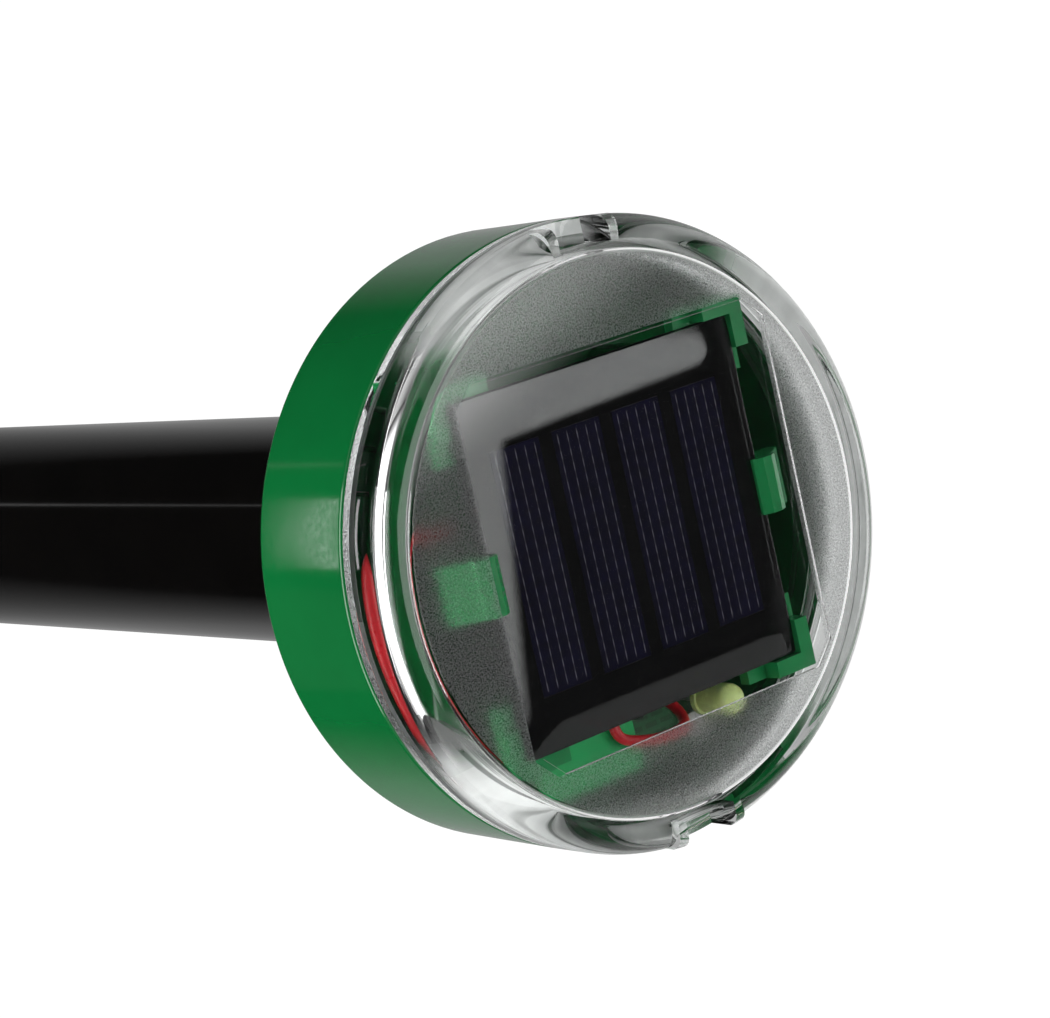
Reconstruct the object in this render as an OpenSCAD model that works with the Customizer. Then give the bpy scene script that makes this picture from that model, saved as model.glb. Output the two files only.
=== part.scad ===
// Solar stake that drives burrowing pests away with sound.
// Millimetres, +Z up along the stake. The origin is on its axis, where the tube meets the head's collar.

/* [Head] */
// Outer diameter of the housing and the cover
head_d = 98; // [94:0.5:110]
// Height of the housing's side wall
housing_h = 23; // [23:0.5:30]
// How much smaller the housing's diameter is at its underside
housing_taper = 0.6; // [0:0.1:2]
// Thickness of the housing's side wall
housing_wall = 2.4; // [2.2:0.1:3]
// Thickness of the housing's floor
housing_floor = 2.5; // [2:0.1:4]
// Rounding of the housing's lower edge
housing_edge_r = 1.2; // [0.5:0.1:2]
// Rounding of the housing's rim
rim_edge_r = 0.8; // [0.3:0.1:1.2]

/* [Cover] */
// Height of the cover above the housing's rim
cover_h = 10.8; // [10.5:0.1:16]
// Thickness of the cover's flat face
cover_top = 2.2; // [1.8:0.1:3]
// Rounding of the cover's outer rim
cover_edge_r = 4.4; // [3:0.1:5.5]
// Depth of the skirt that enters the housing
skirt_h = 6; // [5.5:0.1:8]
// Thickness of the skirt
skirt_wall = 2.6; // [2.4:0.1:3.2]
// Fillet between the cover's face and its side wall, inside
cover_fillet = 0.9; // [0.4:0.1:1]
// Width of each grip notch
notch_w = 10; // [6:0.5:14]
// How far a grip notch reaches in from the cover's side
notch_in = 4.4; // [3.5:0.1:4.7]
// How far a grip notch reaches down from the cover's face
notch_drop = 6.5; // [4:0.1:8]
// Width of the rib on each side of a grip notch
notch_rib = 2; // [1:0.1:3]
// Rounding of the rib's crest
notch_rib_r = 2.2; // [1:0.1:2.8]
// Width of the clear square window in the face
window_w = 60; // [56:0.5:62]
// How far the window lies off the axis, along X
window_shift = 1.5; // [0:0.1:1.8]
// Chamfer at the window's corners
window_chamfer = 3.5; // [1:0.1:6]
// Depth of the window's step
window_step = 0.3; // [0.1:0.05:0.6]

/* [Bayonet] */
// Angle that one locking lug spans
lug_angle = 14; // [8:1:20]
// Height of a lug
lug_h = 2; // [1.5:0.1:3]
// How far a lug stands out of the skirt
lug_out = 1; // [0.7:0.1:1.2]
// Turn from locked to free
twist_angle = 20; // [10:1:30]
// Section of the sealing ring
seal_d = 1.6; // [1.2:0.1:1.8]

/* [Solar panel] */
// Side of the square panel
panel_w = 55; // [50:0.5:56]
// Thickness of the panel's board
panel_board_t = 2; // [1.6:0.1:3]
// Thickness of the clear resin
panel_resin_t = 1; // [0.8:0.1:1.4]
// Width of the margin in which the resin falls away
resin_margin = 8; // [4:0.5:8]
// How far the resin falls at its edges
resin_drop = 0.6; // [0.2:0.1:0.7]
// Room between the resin and the cover
panel_headroom = 2.3; // [2.2:0.1:4]
// Number of cells
cell_count = 4; // [2:1:4]
// Width of a cell
cell_w = 9.4; // [6:0.1:11]
// Length of a cell
cell_l = 38; // [30:0.5:48]
// Distance from one cell to the next
cell_pitch = 12; // [11.5:0.1:13]
// Thickness of a cell
cell_t = 0.3; // [0.2:0.05:0.5]

/* [Panel carrier] */
// Thickness of the carrier's frame
carrier_t = 2; // [1.6:0.1:3]
// Width of the carrier's frame bars
carrier_bar = 9; // [9:0.5:12]
// Thickness of a corner post
post_t = 2.6; // [2:0.1:2.8]
// Length of a corner post's legs
post_leg = 8; // [5:0.5:12]
// Width of a clip
clip_w = 9; // [6:0.5:12]
// Thickness of a clip's stem
clip_t = 2.8; // [1.8:0.1:3]
// How far a clip's hook reaches over the panel
clip_hook = 1.4; // [0.6:0.1:1.5]
// Height of a clip's hook
clip_head = 1.6; // [1.2:0.1:1.8]
// Reach of the rib behind a clip
clip_rib = 3.6; // [2:0.1:5]
// Distance from the axis to a carrier screw, along X and along Y
carrier_screw_at = 22; // [21.5:0.1:23]
// Diameter of a carrier screw
carrier_screw_d = 2.5; // [2:0.1:3]
// Length of a carrier screw's shank
carrier_screw_l = 8; // [6:0.5:12]
// Width of the tongue at the panel's lower edge
tongue_w = 19.5; // [12:0.5:20]
// Place of the tongue's middle along X
tongue_x = -14; // [-16:0.5:-14]
// How far the tongue reaches past the panel
tongue_reach = 9; // [4:0.5:12]

/* [Stake] */
// Outer diameter of the tube
tube_d = 40; // [36:0.5:42]
// Thickness of the tube's wall
tube_wall = 2.4; // [2.2:0.1:3]
// Length of the tube below the head
tube_l = 205; // [150:1:300]
// Thickness of the neck that enters the head
neck_wall = 1.6; // [1.4:0.1:1.8]
// Length of the head's collar
collar_h = 14; // [10:0.5:20]
// Thickness of the head's collar
collar_wall = 3.2; // [2.5:0.1:4]
// Thickness of the gasket above the neck
gasket_t = 1; // [0.6:0.1:1.6]
// Thickness of the lip that the gasket bears on
lip_t = 1.2; // [1:0.1:1.6]
// Length of the spike below the tube
spike_l = 57; // [40:1:90]
// Rounding of the spike's point
spike_tip_r = 3; // [2:0.1:5]
// Straight band at the top of the spike
spike_band = 4; // [2:0.5:8]
// Length of the spike's plug in the tube
plug_l = 14; // [10:0.5:20]
// Thickness of the plug's wall
plug_wall = 3; // [2:0.1:5]

/* [Sounder] */
// Height of the sounder's case
sounder_h = 11; // [8:0.5:16]
// Thickness of the case's wall and end
sounder_wall = 2; // [1.5:0.1:2.5]
// Diameter of the brass disc
disc_d = 27; // [20:0.5:28]
// Thickness of the brass disc
disc_t = 0.4; // [0.2:0.05:0.6]
// Diameter of the ceramic layer
ceramic_d = 20; // [12:0.5:20]
// Height of the step that carries the disc
disc_step = 3; // [2:0.1:4]

/* [Battery] */
// Diameter of the rechargeable cell
battery_d = 14.5; // [10.5:0.1:14.5]
// Length of the cell with its button
battery_l = 50.5; // [44.5:0.1:50.5]
// Place of the cell's axis along Y
battery_y = 8; // [7.5:0.1:8.5]
// Thickness of the contact plates
contact_t = 0.5; // [0.3:0.05:0.8]
// Reach of the leaf contact
leaf_reach = 2.4; // [1.8:0.1:3]

/* [Circuit board] */
// Width of the board along X
board_w = 34; // [32:0.5:35]
// Length of the board along Y
board_l = 27; // [25:0.5:28]
// Thickness of the board
board_t = 1.6; // [1:0.1:2]
// How far the board reaches out past the panel's edge
board_past = 11.5; // [11:0.1:12.5]
// Height of the board above the housing's floor
board_stand = 11; // [10:0.1:12]
// Diameter of the board's screws
board_screw_d = 2.2; // [2:0.1:2.5]
// Diameter of the lamp
led_d = 5; // [3:0.1:5.4]
// Height of the lamp without its legs
led_h = 8.6; // [6:0.1:9]
// Height of the lamp's legs above the board
led_stand = 3.6; // [2:0.1:4]

/* [Power button] */
// Diameter of the button
button_d = 10; // [7:0.1:11]
// Travel of the button
button_travel = 1.5; // [0.8:0.1:2]
// How far the button stands out below the head
button_proud = 2.2; // [2:0.1:3]
// How far out the button lies from the board's middle
button_out = 7.5; // [6.5:0.1:8.5]
// Height of the switch's case
switch_h = 7; // [6:0.1:7.5]
// Width of the switch's case
switch_w = 8; // [6:0.1:9]
// Diameter of the switch's plunger
plunger_d = 3.2; // [2:0.1:4]

/* [Wires] */
// Diameter of the hook-up wire
wire_d = 1.6; // [1.2:0.1:1.8]

/* [Fits] */
// Gap between pieces that move past each other
slip = 0.3; // [0.2:0.05:0.4]
// Gap between pieces that sit still in each other
seat = 0.1; // [0.05:0.05:0.15]
// Gap between the locked cover and the housing's rim
lock_gap = 0.15; // [0.1:0.05:0.3]
// Gap that the solder fills at a wire's end
solder_gap = 0.2; // [0.15:0.05:0.3]
// Room between the cover's skirt and the carrier
carrier_room = 0.6; // [0.4:0.1:1]
// Room between the circuit board and the housing's wall
board_room = 0.8; // [0.5:0.1:2]
// Room between the cover's skirt and a wire
wire_room = 0.5; // [0.3:0.1:1]

/* [Hidden] */
$fn = 96;
eps = 0.01;
through = 1;

// Levels of the head, from the underside up
under_z = collar_h;
floor_z = under_z + housing_floor;
rim_z = under_z + housing_h;
top_z = rim_z + cover_h;
face_z = top_z - cover_top;
resin_z = face_z - panel_headroom - panel_resin_t;
panel_z = resin_z - panel_board_t;
carrier_z = panel_z - carrier_t;
skirt_z = rim_z - skirt_h;

// Radii of the head
head_r = head_d / 2;
housing_in_r = head_r - housing_wall;
skirt_r = housing_in_r - slip;
skirt_in_r = skirt_r - skirt_wall;
skirt_root = 1;

// Stake
tube_r = tube_d / 2;
tube_in_r = tube_r - tube_wall;
neck_r = tube_in_r + neck_wall;
socket_r = neck_r + seat;
collar_r = socket_r + collar_wall;
socket_top_z = floor_z - lip_t;
neck_top_z = socket_top_z - gasket_t;
lip_w = 2.6;
lead_hole_r = tube_in_r - lip_w;
plug_r = tube_in_r - seat;
plug_z = plug_l - tube_l;
spike_step = 0.4;
collar_rib_count = 6;
collar_rib_reach = 7;
collar_rib_t = 2;
collar_rib_low = 2;
collar_rib_end = 1;

// Bayonet lugs sit low on the skirt, under the notches
lug_up = 0.5;
lug_z = skirt_z + lug_up;
lug_root = 0.5;
lug_r = skirt_r + lug_out;
slot_r = lug_r + slip;
slot_play = 0.6;
notch_angles = [90, 270];
seal_up = 1.6;
seal_groove_z = skirt_z + lug_h + seal_up;
seal_proud = slip / 2;

// Carrier
post_in = panel_w / 2 + slip;
post_out = post_in + post_t;
post_room = 2.2;
post_top_z = face_z - post_room;
low_post_step = 1;
low_post_z = panel_z + low_post_step;
resin_arc_r = (resin_margin * resin_margin + resin_drop * resin_drop) / (2 * resin_drop);
resin_arc_fn = 1440;
hook_in = resin_margin - clip_hook;
hook_z = resin_z + panel_resin_t + seat - resin_arc_r + sqrt(resin_arc_r * resin_arc_r - hook_in * hook_in);
clip_root = 1;
clip_slope = 0.4;
frame_inset = 2.5;
frame_out = panel_w / 2 - frame_inset;
frame_in = frame_out - carrier_bar;
corner_step = 2.6;
corner_in = frame_in + corner_step;
pad_wall = 3.2;
pad_r = carrier_screw_d / 2 + pad_wall;
pad_drop = 2;
pad_t = carrier_t + pad_drop;
pad_z = panel_z - pad_t;
carrier_points = [for (x = [-1, 1], y = [-1, 1]) [x, y] * carrier_screw_at];
lead_gap_x = [-12, 12];
lead_strip = 2;
carrier_r = skirt_in_r - carrier_room;
panel_r = carrier_r - slip;

// Screws
screw_head_h = 1.6;
boss_wall = 2;
pilot_spare = 1;
pilot_l = carrier_screw_l + pilot_spare;
board_screw_l = 6;
board_pilot_l = board_screw_l + pilot_spare;

// Battery
cell_r = battery_d / 2;
battery_lift = 0.6;
battery_z = floor_z + battery_lift + cell_r;
battery_nub_d = 5.5;
battery_nub_l = 1.3;
saddle_x = 20;
saddle_t = 2;
contact_w = 11;
contact_h = battery_d;
tab_spare = 0.8;
contact_tab = wire_d + tab_spare;
tab_z = floor_z + contact_h + wire_d / 2 + solder_gap;
end_wall_t = 2;
plate_x = -battery_l / 2 - contact_t;
leaf_x = battery_l / 2 + leaf_reach;
leaf_w = 5;
leaf_half = 4;

// Circuit board
board_z = floor_z + board_stand;
board_top_z = board_z + board_t;
board_out_y = -panel_w / 2 - board_past;
board_mid_y = board_out_y + board_l / 2;
board_screw_in = [3.5, 3];
board_points = [for (x = [-1, 1], y = [-1, 1])
    [x * (board_w / 2 - board_screw_in[0]), board_mid_y + y * (board_l / 2 - board_screw_in[1])]];
chip_in = 5.5;
capacitor_in = 7.5;
coil_out = 4.5;
led_room = 1.6;
led_x = 15;
led_at = [led_x, -panel_w / 2 - led_room - led_d / 2];
led_flange_w = 0.4;
led_flange_h = 1;
led_legs_apart = 2.54;
led_leg_w = 0.5;
led_z = board_top_z + led_stand;
chip_at = [-6, board_mid_y + chip_in];
chip_size = [9.8, 6.4, 3.3];
chip_pitch = 2.54;
chip_leg = [0.5, 1.1, 0.3];
chip_rows = 4;
capacitor_at = [6, board_mid_y + capacitor_in];
capacitor_d = 5;
capacitor_h = 6.5;
capacitor_groove_r = 0.35;
capacitor_groove_z = 1.2;
coil_at = [-9, board_mid_y - coil_out];
coil_d = 7;
coil_h = 5;
coil_rim = 1;
coil_inset = 0.6;

// Power button
button_y = board_mid_y - button_out;
button_r = button_d / 2;
button_edge_r = 0.8;
button_flange_w = 1.4;
button_flange_r = button_r + button_flange_w;
button_flange_t = 1.2;
button_low_z = under_z - button_proud;
flange_z = floor_z + seat;
flange_top_z = flange_z + button_flange_t;
plunger_r = plunger_d / 2;
switch_z = board_z - switch_h;
plunger_in = 1;
plunger_top_z = switch_z + plunger_in;

// Sounder
sounder_r = tube_in_r - seat;
sounder_z = plug_z;
disc_z = sounder_z + disc_step;
ceramic_t = 0.3;
disc_seat_w = 2.5;
sounder_lead_x = 2.5;

// Wire routes, each a row of points from one end to the other
wire_r = wire_d / 2;
wire_turn = 4;
wire_out = 4;
panel_edge = [0, -panel_w / 2, panel_z - wire_r];
board_mid = [0, board_mid_y];
panel_red_pad = [7.5, -4.5];
panel_red_end = board_mid + panel_red_pad;
panel_red_bends = [
    [-8, 3.5, 0], [-9, 0.5, 0], [-8, -3.1, 0.3], [-2, -5.1, 0.4], [4, -5.3, 0], [7, -4.5, -3]
];
panel_red_route = [
    for (b = panel_red_bends) panel_edge + b,
    [panel_red_end[0], panel_red_end[1], board_top_z + wire_turn],
    [panel_red_end[0], panel_red_end[1], board_top_z + solder_gap]
];
panel_black_pad = [1, -4.5];
panel_black_end = board_mid + panel_black_pad;
panel_black_bends = [[-3, 3.5, 0], [-2.6, 1.5, -0.6], [-1.5, -1, -3]];
panel_black_route = [
    for (b = panel_black_bends) panel_edge + b,
    [panel_black_end[0], panel_black_end[1], board_top_z + wire_turn],
    [panel_black_end[0], panel_black_end[1], board_top_z + solder_gap]
];

// The red battery wire runs along the skirt: angles, steps in from the skirt, heights above the tab
wall_r = skirt_in_r - wire_r - wire_room;
wall_angles = [170, 180, 190, 200, 208, 220.5, 231.6, 241.3];
wall_insets = [0.8, 0, 0, 0, 0.4, 1.6, 3.75, 7];
wall_rises = [5, 5.5, 5.5, 5.5, 4.5, 3, 2, 1];
battery_red_pad = [-14, -3.5];
battery_red_end = board_mid + battery_red_pad;
battery_red_out = [[-35.5, 9.5, 3]];
battery_red_route = [
    for (out = [solder_gap, wire_out / 2, wire_out]) [plate_x - out, battery_y, tab_z],
    for (b = battery_red_out) [b[0], b[1], tab_z + b[2]],
    for (i = [0 : len(wall_angles) - 1])
        let (r = wall_r - wall_insets[i])
        [r * cos(wall_angles[i]), r * sin(wall_angles[i]), tab_z + wall_rises[i]],
    [battery_red_end[0], battery_red_end[1], board_top_z + wire_turn],
    [battery_red_end[0], battery_red_end[1], board_top_z + solder_gap]
];
leaf_back_x = leaf_x + contact_t;
battery_black_pad = [14, 0.5];
battery_black_end = board_mid + battery_black_pad;
battery_black_bends = [[34, 2, 0.5], [33, -10, 0], [28, -25, 0], [20, -30, 0]];
battery_black_route = [
    for (out = [solder_gap, wire_out / 2, wire_out]) [leaf_back_x + out, battery_y, tab_z],
    for (b = battery_black_bends) [b[0], b[1], tab_z + b[2]],
    [battery_black_end[0], battery_black_end[1], board_top_z + wire_turn],
    [battery_black_end[0], battery_black_end[1], board_top_z + solder_gap]
];
sounder_top_z = sounder_z + sounder_h;
sounder_lead_start = 12;
sounder_lead_rise = 4;
sounder_pad = [5, 10.5];
sounder_lead_end = board_mid + sounder_pad;
sounder_lead_bends = [[5, 13.5], [5, 10.9]];
// Places along the stake, with the height as a share of the tube's length
sounder_sway = [[3, 1, -0.6], [3.5, -1, -0.3], [4, -3, 0]];
sounder_neck = [4.5, -7];
sounder_route = [
    [sounder_lead_x, 0, sounder_top_z + solder_gap],
    [sounder_lead_x, 0, sounder_top_z + sounder_lead_start],
    for (s = sounder_sway) [s[0], s[1], s[2] * tube_l],
    [sounder_neck[0], sounder_neck[1], floor_z],
    [sounder_lead_bends[0][0], board_mid_y + sounder_lead_bends[0][1], floor_z + sounder_lead_rise],
    [sounder_lead_bends[1][0], board_mid_y + sounder_lead_bends[1][1], board_z - sounder_lead_rise],
    [sounder_lead_end[0], sounder_lead_end[1], board_z - solder_gap]
];
wire_sides = 8;
wire_steps = 4;

// Unit vector along v
function unit(v) = v / norm(v);

// Point on the smooth curve through the route, at step s of the stretch that starts at point i
function curve_point(route, i, s) =
    let (
        n = len(route) - 1,
        a = route[max(i - 1, 0)], b = route[i], c = route[i + 1], d = route[min(i + 2, n)],
        u = s / wire_steps
    )
    b + u * (c - a) / 2 + u * u * (a - 2.5 * b + 2 * c - d / 2) + u * u * u * (1.5 * (b - c) + (d - a) / 2);

// All points of the smooth curve through the route
function curve(route) = [
    for (i = [0 : len(route) - 2], s = [0 : wire_steps - 1]) curve_point(route, i, s),
    route[len(route) - 1]
];

// Direction of the curve p at its point i
function along(p, i) = unit(p[min(i + 1, len(p) - 1)] - p[max(i - 1, 0)]);

// Part of v that is square to the direction t
function square_to(v, t) = unit(v - (v * t) * t);

// Round wire along a route
module wire(route) {
    p = curve(route);
    n = len(p);
    sides = [for (i = 0, v = square_to([0.3, 0.9, 0.2], along(p, 0)); i < n;
        i = i + 1, v = i < n ? square_to(v, along(p, i)) : v) v];
    rings = [for (i = [0 : n - 1], k = [0 : wire_sides - 1])
        let (q = k * 360 / wire_sides)
        p[i] + wire_r * (cos(q) * sides[i] + sin(q) * cross(along(p, i), sides[i]))];
    skin = [for (i = [0 : n - 2], k = [0 : wire_sides - 1], half = [0, 1])
        let (
            a = i * wire_sides + k,
            b = i * wire_sides + (k + 1) % wire_sides
        )
        half == 0 ? [a, a + wire_sides, b] : [b, a + wire_sides, b + wire_sides]];
    last = (n - 1) * wire_sides;
    ends = [for (k = [1 : wire_sides - 2], end = [0, 1])
        end == 0 ? [0, k, k + 1] : [last, last + k + 1, last + k]];
    polyhedron(points = rings, faces = concat(skin, ends));
}

// Ring sector between two radii, from angle a over angle span
module sector(r1, r2, z, h, a, span) {
    rotate([0, 0, a])
        rotate_extrude(angle = span)
            translate([r1, z])
                square([r2 - r1, h]);
}

// Upright pillar with its foot at height z
module pillar(at, r, z, h) {
    translate([at[0], at[1], z])
        cylinder(r = r, h = h);
}

// Pan-head screw that hangs from height z, with its head above
module screw(at, z, d, l) {
    pillar(at, d / 2, z - l, l);
    pillar(at, d, z, screw_head_h);
}

// Square with cut corners
module cut_square(w, cut) {
    h = w / 2;
    polygon([
        [h, h - cut], [h - cut, h], [cut - h, h], [-h, h - cut],
        [-h, cut - h], [cut - h, -h], [h - cut, -h], [h, cut - h]
    ]);
}

// Section of the resin, flat over the cells and falling away in an arc over each margin
module resin_section() {
    flat = panel_w / 2 - resin_margin;
    translate([-flat, 0])
        square([2 * flat, panel_resin_t]);
    for (side = [0, 1])
        mirror([side, 0])
            intersection() {
                translate([flat, panel_resin_t - resin_arc_r])
                    circle(r = resin_arc_r, $fn = resin_arc_fn);
                translate([flat - eps, 0])
                    square([resin_margin + eps, panel_resin_t]);
            }
}

// Cup of the housing with its rounded edges
module housing_shell() {
    low_r = head_r - housing_taper / 2;
    e = housing_edge_r;
    rotate_extrude() {
        polygon([
            [0, under_z], [low_r - e, under_z], [low_r, under_z + e], [head_r, rim_z - rim_edge_r],
            [head_r - rim_edge_r, rim_z], [housing_in_r, rim_z], [housing_in_r, floor_z], [0, floor_z]
        ]);
        translate([low_r - e, under_z + e])
            circle(r = e);
        translate([head_r - rim_edge_r, rim_z - rim_edge_r])
            circle(r = rim_edge_r);
    }
}

// Saddles and end walls that hold the battery
module battery_cradle() {
    saddle_h = battery_z - floor_z;
    for (side = [-1, 1])
        translate([side * saddle_x, battery_y, floor_z - eps])
            rotate([90, 0, 90])
                linear_extrude(saddle_t, center = true)
                    difference() {
                        translate([-cell_r, 0])
                            square([battery_d, saddle_h]);
                        translate([0, saddle_h + eps])
                            circle(r = cell_r + seat);
                    }
    for (x = [plate_x - end_wall_t, leaf_x + contact_t])
        translate([x, battery_y - contact_w / 2, floor_z - eps])
            cube([end_wall_t, contact_w, contact_h]);
}

// Locking groove for one lug, cut in the housing's wall, and the entry from the rim at its far end
module bayonet_slot(angle) {
    start = angle - lug_angle / 2 - slot_play;
    span = lug_angle + 2 * slot_play;
    groove_span = span + twist_angle + slot_play;
    mid_z = lug_z + lug_h / 2;
    in_r = housing_in_r - through;
    sector(in_r, slot_r + seat, lug_z - slip, lug_h + 2 * slip, start, groove_span);
    sector(in_r, slot_r, mid_z, rim_z - mid_z + through, start + twist_angle, span);
}

module head_housing() {
    color("forestgreen")
        difference() {
            union() {
                housing_shell();
                battery_cradle();
                for (p = carrier_points)
                    pillar(p, carrier_screw_d / 2 + boss_wall, floor_z - eps, pad_z - floor_z + eps);
                for (p = board_points)
                    pillar(p, board_screw_d / 2 + boss_wall, floor_z - eps, board_stand + eps);
            }
            cylinder(r = socket_r, h = socket_top_z);
            cylinder(r = lead_hole_r, h = floor_z + through);
            for (a = notch_angles)
                bayonet_slot(a);
            pillar([0, button_y], button_r + slip, under_z - through, housing_floor + 2 * through);
            for (p = carrier_points)
                pillar(p, carrier_screw_d / 2 + seat / 2, pad_z - pilot_l, pilot_l + through);
            for (p = board_points)
                pillar(p, board_screw_d / 2 + seat / 2, board_z - board_pilot_l, board_pilot_l + through);
        }
}

// Ring round the stake's neck, with ribs under the head's floor
module stake_collar() {
    rib_r = collar_r + collar_rib_reach;
    color("forestgreen")
        difference() {
            union() {
                cylinder(r = collar_r, h = under_z);
                for (i = [0 : collar_rib_count - 1])
                    rotate([90, 0, i * 360 / collar_rib_count])
                        linear_extrude(collar_rib_t, center = true)
                            polygon([
                                [socket_r, collar_rib_low], [collar_r, collar_rib_low],
                                [rib_r, under_z - collar_rib_end], [rib_r, under_z], [socket_r, under_z]
                            ]);
            }
            translate([0, 0, -through])
                cylinder(r = socket_r, h = under_z + 2 * through);
        }
}

// Section of the cover's wall and face, with an outer rim of rounding r
module cover_section(r) {
    difference() {
        union() {
            translate([0, rim_z + lock_gap])
                square([head_r, cover_h - lock_gap - r]);
            translate([0, rim_z + lock_gap])
                square([head_r - r, cover_h - lock_gap]);
            translate([head_r - r, top_z - r])
                circle(r = r);
        }
        translate([-through, rim_z - through])
            square([skirt_in_r + through, face_z - cover_fillet - rim_z + through]);
        translate([-through, face_z - cover_fillet - eps])
            square([skirt_in_r - cover_fillet + through, cover_fillet + eps]);
        translate([skirt_in_r - cover_fillet, face_z - cover_fillet])
            circle(r = cover_fillet);
    }
}

// Section of the skirt, which carries on the inside of the cover's wall
module skirt_section() {
    difference() {
        translate([skirt_in_r, skirt_z])
            square([skirt_wall, skirt_h + skirt_root]);
        translate([skirt_r - seal_d + seal_proud - seat, seal_groove_z])
            square([seal_d + through, seal_d + 2 * seat]);
    }
}

module clear_cover() {
    color("lightcyan", 0.4)
        difference() {
            union() {
                rotate_extrude() {
                    cover_section(cover_edge_r);
                    skirt_section();
                }
                for (a = notch_angles) {
                    sector(skirt_r - lug_root, lug_r, lug_z, lug_h, a - lug_angle / 2, lug_angle);
                    notch_ribs(a);
                }
            }
            for (a = notch_angles)
                rotate([0, 0, a])
                    translate([head_r - notch_in, -notch_w / 2, top_z - notch_drop])
                        cube([notch_in + through, notch_w, notch_drop + through]);
            translate([window_shift, 0, top_z - window_step])
                linear_extrude(window_step + through)
                    cut_square(window_w, window_chamfer);
        }
}

// Ribs that stand up from the cover's rounding beside a grip notch
module notch_ribs(angle) {
    intersection() {
        rotate_extrude()
            cover_section(notch_rib_r);
        rotate([0, 0, angle])
            for (y = [-notch_w / 2 - notch_rib, notch_w / 2])
                translate([head_r - notch_in, y, rim_z + skirt_root])
                    cube([notch_in + through, notch_rib, cover_h]);
    }
}

module cover_seal() {
    ring_r = skirt_r + seal_proud - seal_d / 2;
    color("whitesmoke")
        rotate_extrude()
            translate([ring_r, seal_groove_z + seat + seal_d / 2])
                circle(d = seal_d);
}

// Corner post of the carrier up to a height, in the quarter where X and Y are positive
module corner_post(post_z) {
    translate([0, 0, carrier_z])
        linear_extrude(post_z - carrier_z)
            difference() {
                translate([post_out - post_leg, post_out - post_leg])
                    square(post_leg);
                square(2 * post_in, center = true);
            }
    translate([corner_in, corner_in, carrier_z])
        cube([post_out - corner_in, post_out - corner_in, carrier_t]);
}

// Snap clip at the panel's edge on the +X side
module panel_clip() {
    stem = post_in + clip_t;
    rotate([90, 0, 0])
        linear_extrude(clip_w, center = true)
            polygon([
                [frame_out - clip_root, carrier_z], [stem + clip_rib, carrier_z],
                [stem + clip_rib, panel_z], [stem, hook_z], [stem, hook_z + clip_head / 2],
                [stem - clip_t / 2, hook_z + clip_head],
                [post_in - clip_slope, hook_z + clip_head],
                [panel_w / 2 - clip_hook, hook_z + clip_head / 3],
                [panel_w / 2 - clip_hook, hook_z], [post_in, hook_z], [post_in, panel_z],
                [frame_out - clip_root, panel_z]
            ]);
}

// Outline of the carrier's frame, with a gap for the panel's wires
module frame_outline() {
    difference() {
        square(2 * frame_out, center = true);
        square(2 * frame_in, center = true);
        translate([lead_gap_x[0], -frame_out - through])
            square([lead_gap_x[1] - lead_gap_x[0], carrier_bar - lead_strip + through]);
    }
}

module panel_carrier() {
    tongue_end = panel_w / 2 + tongue_reach;
    head_z = panel_z - screw_head_h - seat;
    color("seagreen")
        difference() {
            intersection() {
                union() {
                    translate([0, 0, carrier_z])
                        linear_extrude(carrier_t)
                            frame_outline();
                    for (x = [0, 1], y = [0, 1])
                        mirror([x, 0, 0])
                            mirror([0, y, 0])
                                corner_post(x == 0 ? post_top_z : low_post_z);
                    for (a = [0, 180])
                        rotate([0, 0, a])
                            panel_clip();
                    for (p = carrier_points)
                        pillar(p, pad_r, pad_z, pad_t);
                    translate([tongue_x - tongue_w / 2, -tongue_end, pad_z])
                        cube([tongue_w, tongue_end - carrier_screw_at, pad_drop + eps]);
                }
                translate([0, 0, pad_z])
                    cylinder(r = carrier_r, h = top_z - pad_z);
            }
            for (p = carrier_points) {
                pillar(p, carrier_screw_d / 2 + seat, pad_z - through, pad_t + 2 * through);
                pillar(p, carrier_screw_d + seat, head_z, screw_head_h + seat + through);
            }
        }
}

module carrier_screws() {
    color("silver")
        for (p = carrier_points)
            screw(p, panel_z - screw_head_h - seat, carrier_screw_d, carrier_screw_l);
}

// Place of cell i along X
function cell_x(i) = (i - (cell_count - 1) / 2) * cell_pitch;

module panel_board() {
    color("black")
        difference() {
            intersection() {
                translate([-panel_w / 2, -panel_w / 2, panel_z])
                    cube([panel_w, panel_w, panel_board_t]);
                translate([0, 0, panel_z])
                    cylinder(r = panel_r, h = panel_board_t);
            }
            for (i = [0 : cell_count - 1])
                translate([cell_x(i) - cell_w / 2 - seat, -cell_l / 2 - seat, resin_z - cell_t])
                    cube([cell_w + 2 * seat, cell_l + 2 * seat, cell_t + through]);
        }
}

module solar_cells() {
    color("midnightblue")
        for (i = [0 : cell_count - 1])
            translate([cell_x(i) - cell_w / 2, -cell_l / 2, resin_z - cell_t])
                cube([cell_w, cell_l, cell_t]);
}

module panel_resin() {
    color("lightgray", 0.3)
        translate([0, 0, resin_z])
            intersection() {
                rotate([90, 0, 0])
                    linear_extrude(panel_w, center = true)
                        resin_section();
                rotate([90, 0, 90])
                    linear_extrude(panel_w, center = true)
                        resin_section();
                cylinder(r = panel_r, h = panel_resin_t);
            }
}

module circuit_board() {
    color("darkgreen")
        difference() {
            intersection() {
                translate([-board_w / 2, board_out_y, board_z])
                    cube([board_w, board_l, board_t]);
                translate([0, 0, board_z])
                    cylinder(r = housing_in_r - board_room, h = board_t);
            }
            for (p = board_points)
                pillar(p, board_screw_d / 2 + seat, board_z - through, board_t + 2 * through);
        }
}

module board_screws() {
    color("silver")
        for (p = board_points)
            screw(p, board_top_z, board_screw_d, board_screw_l + board_t);
}

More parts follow.
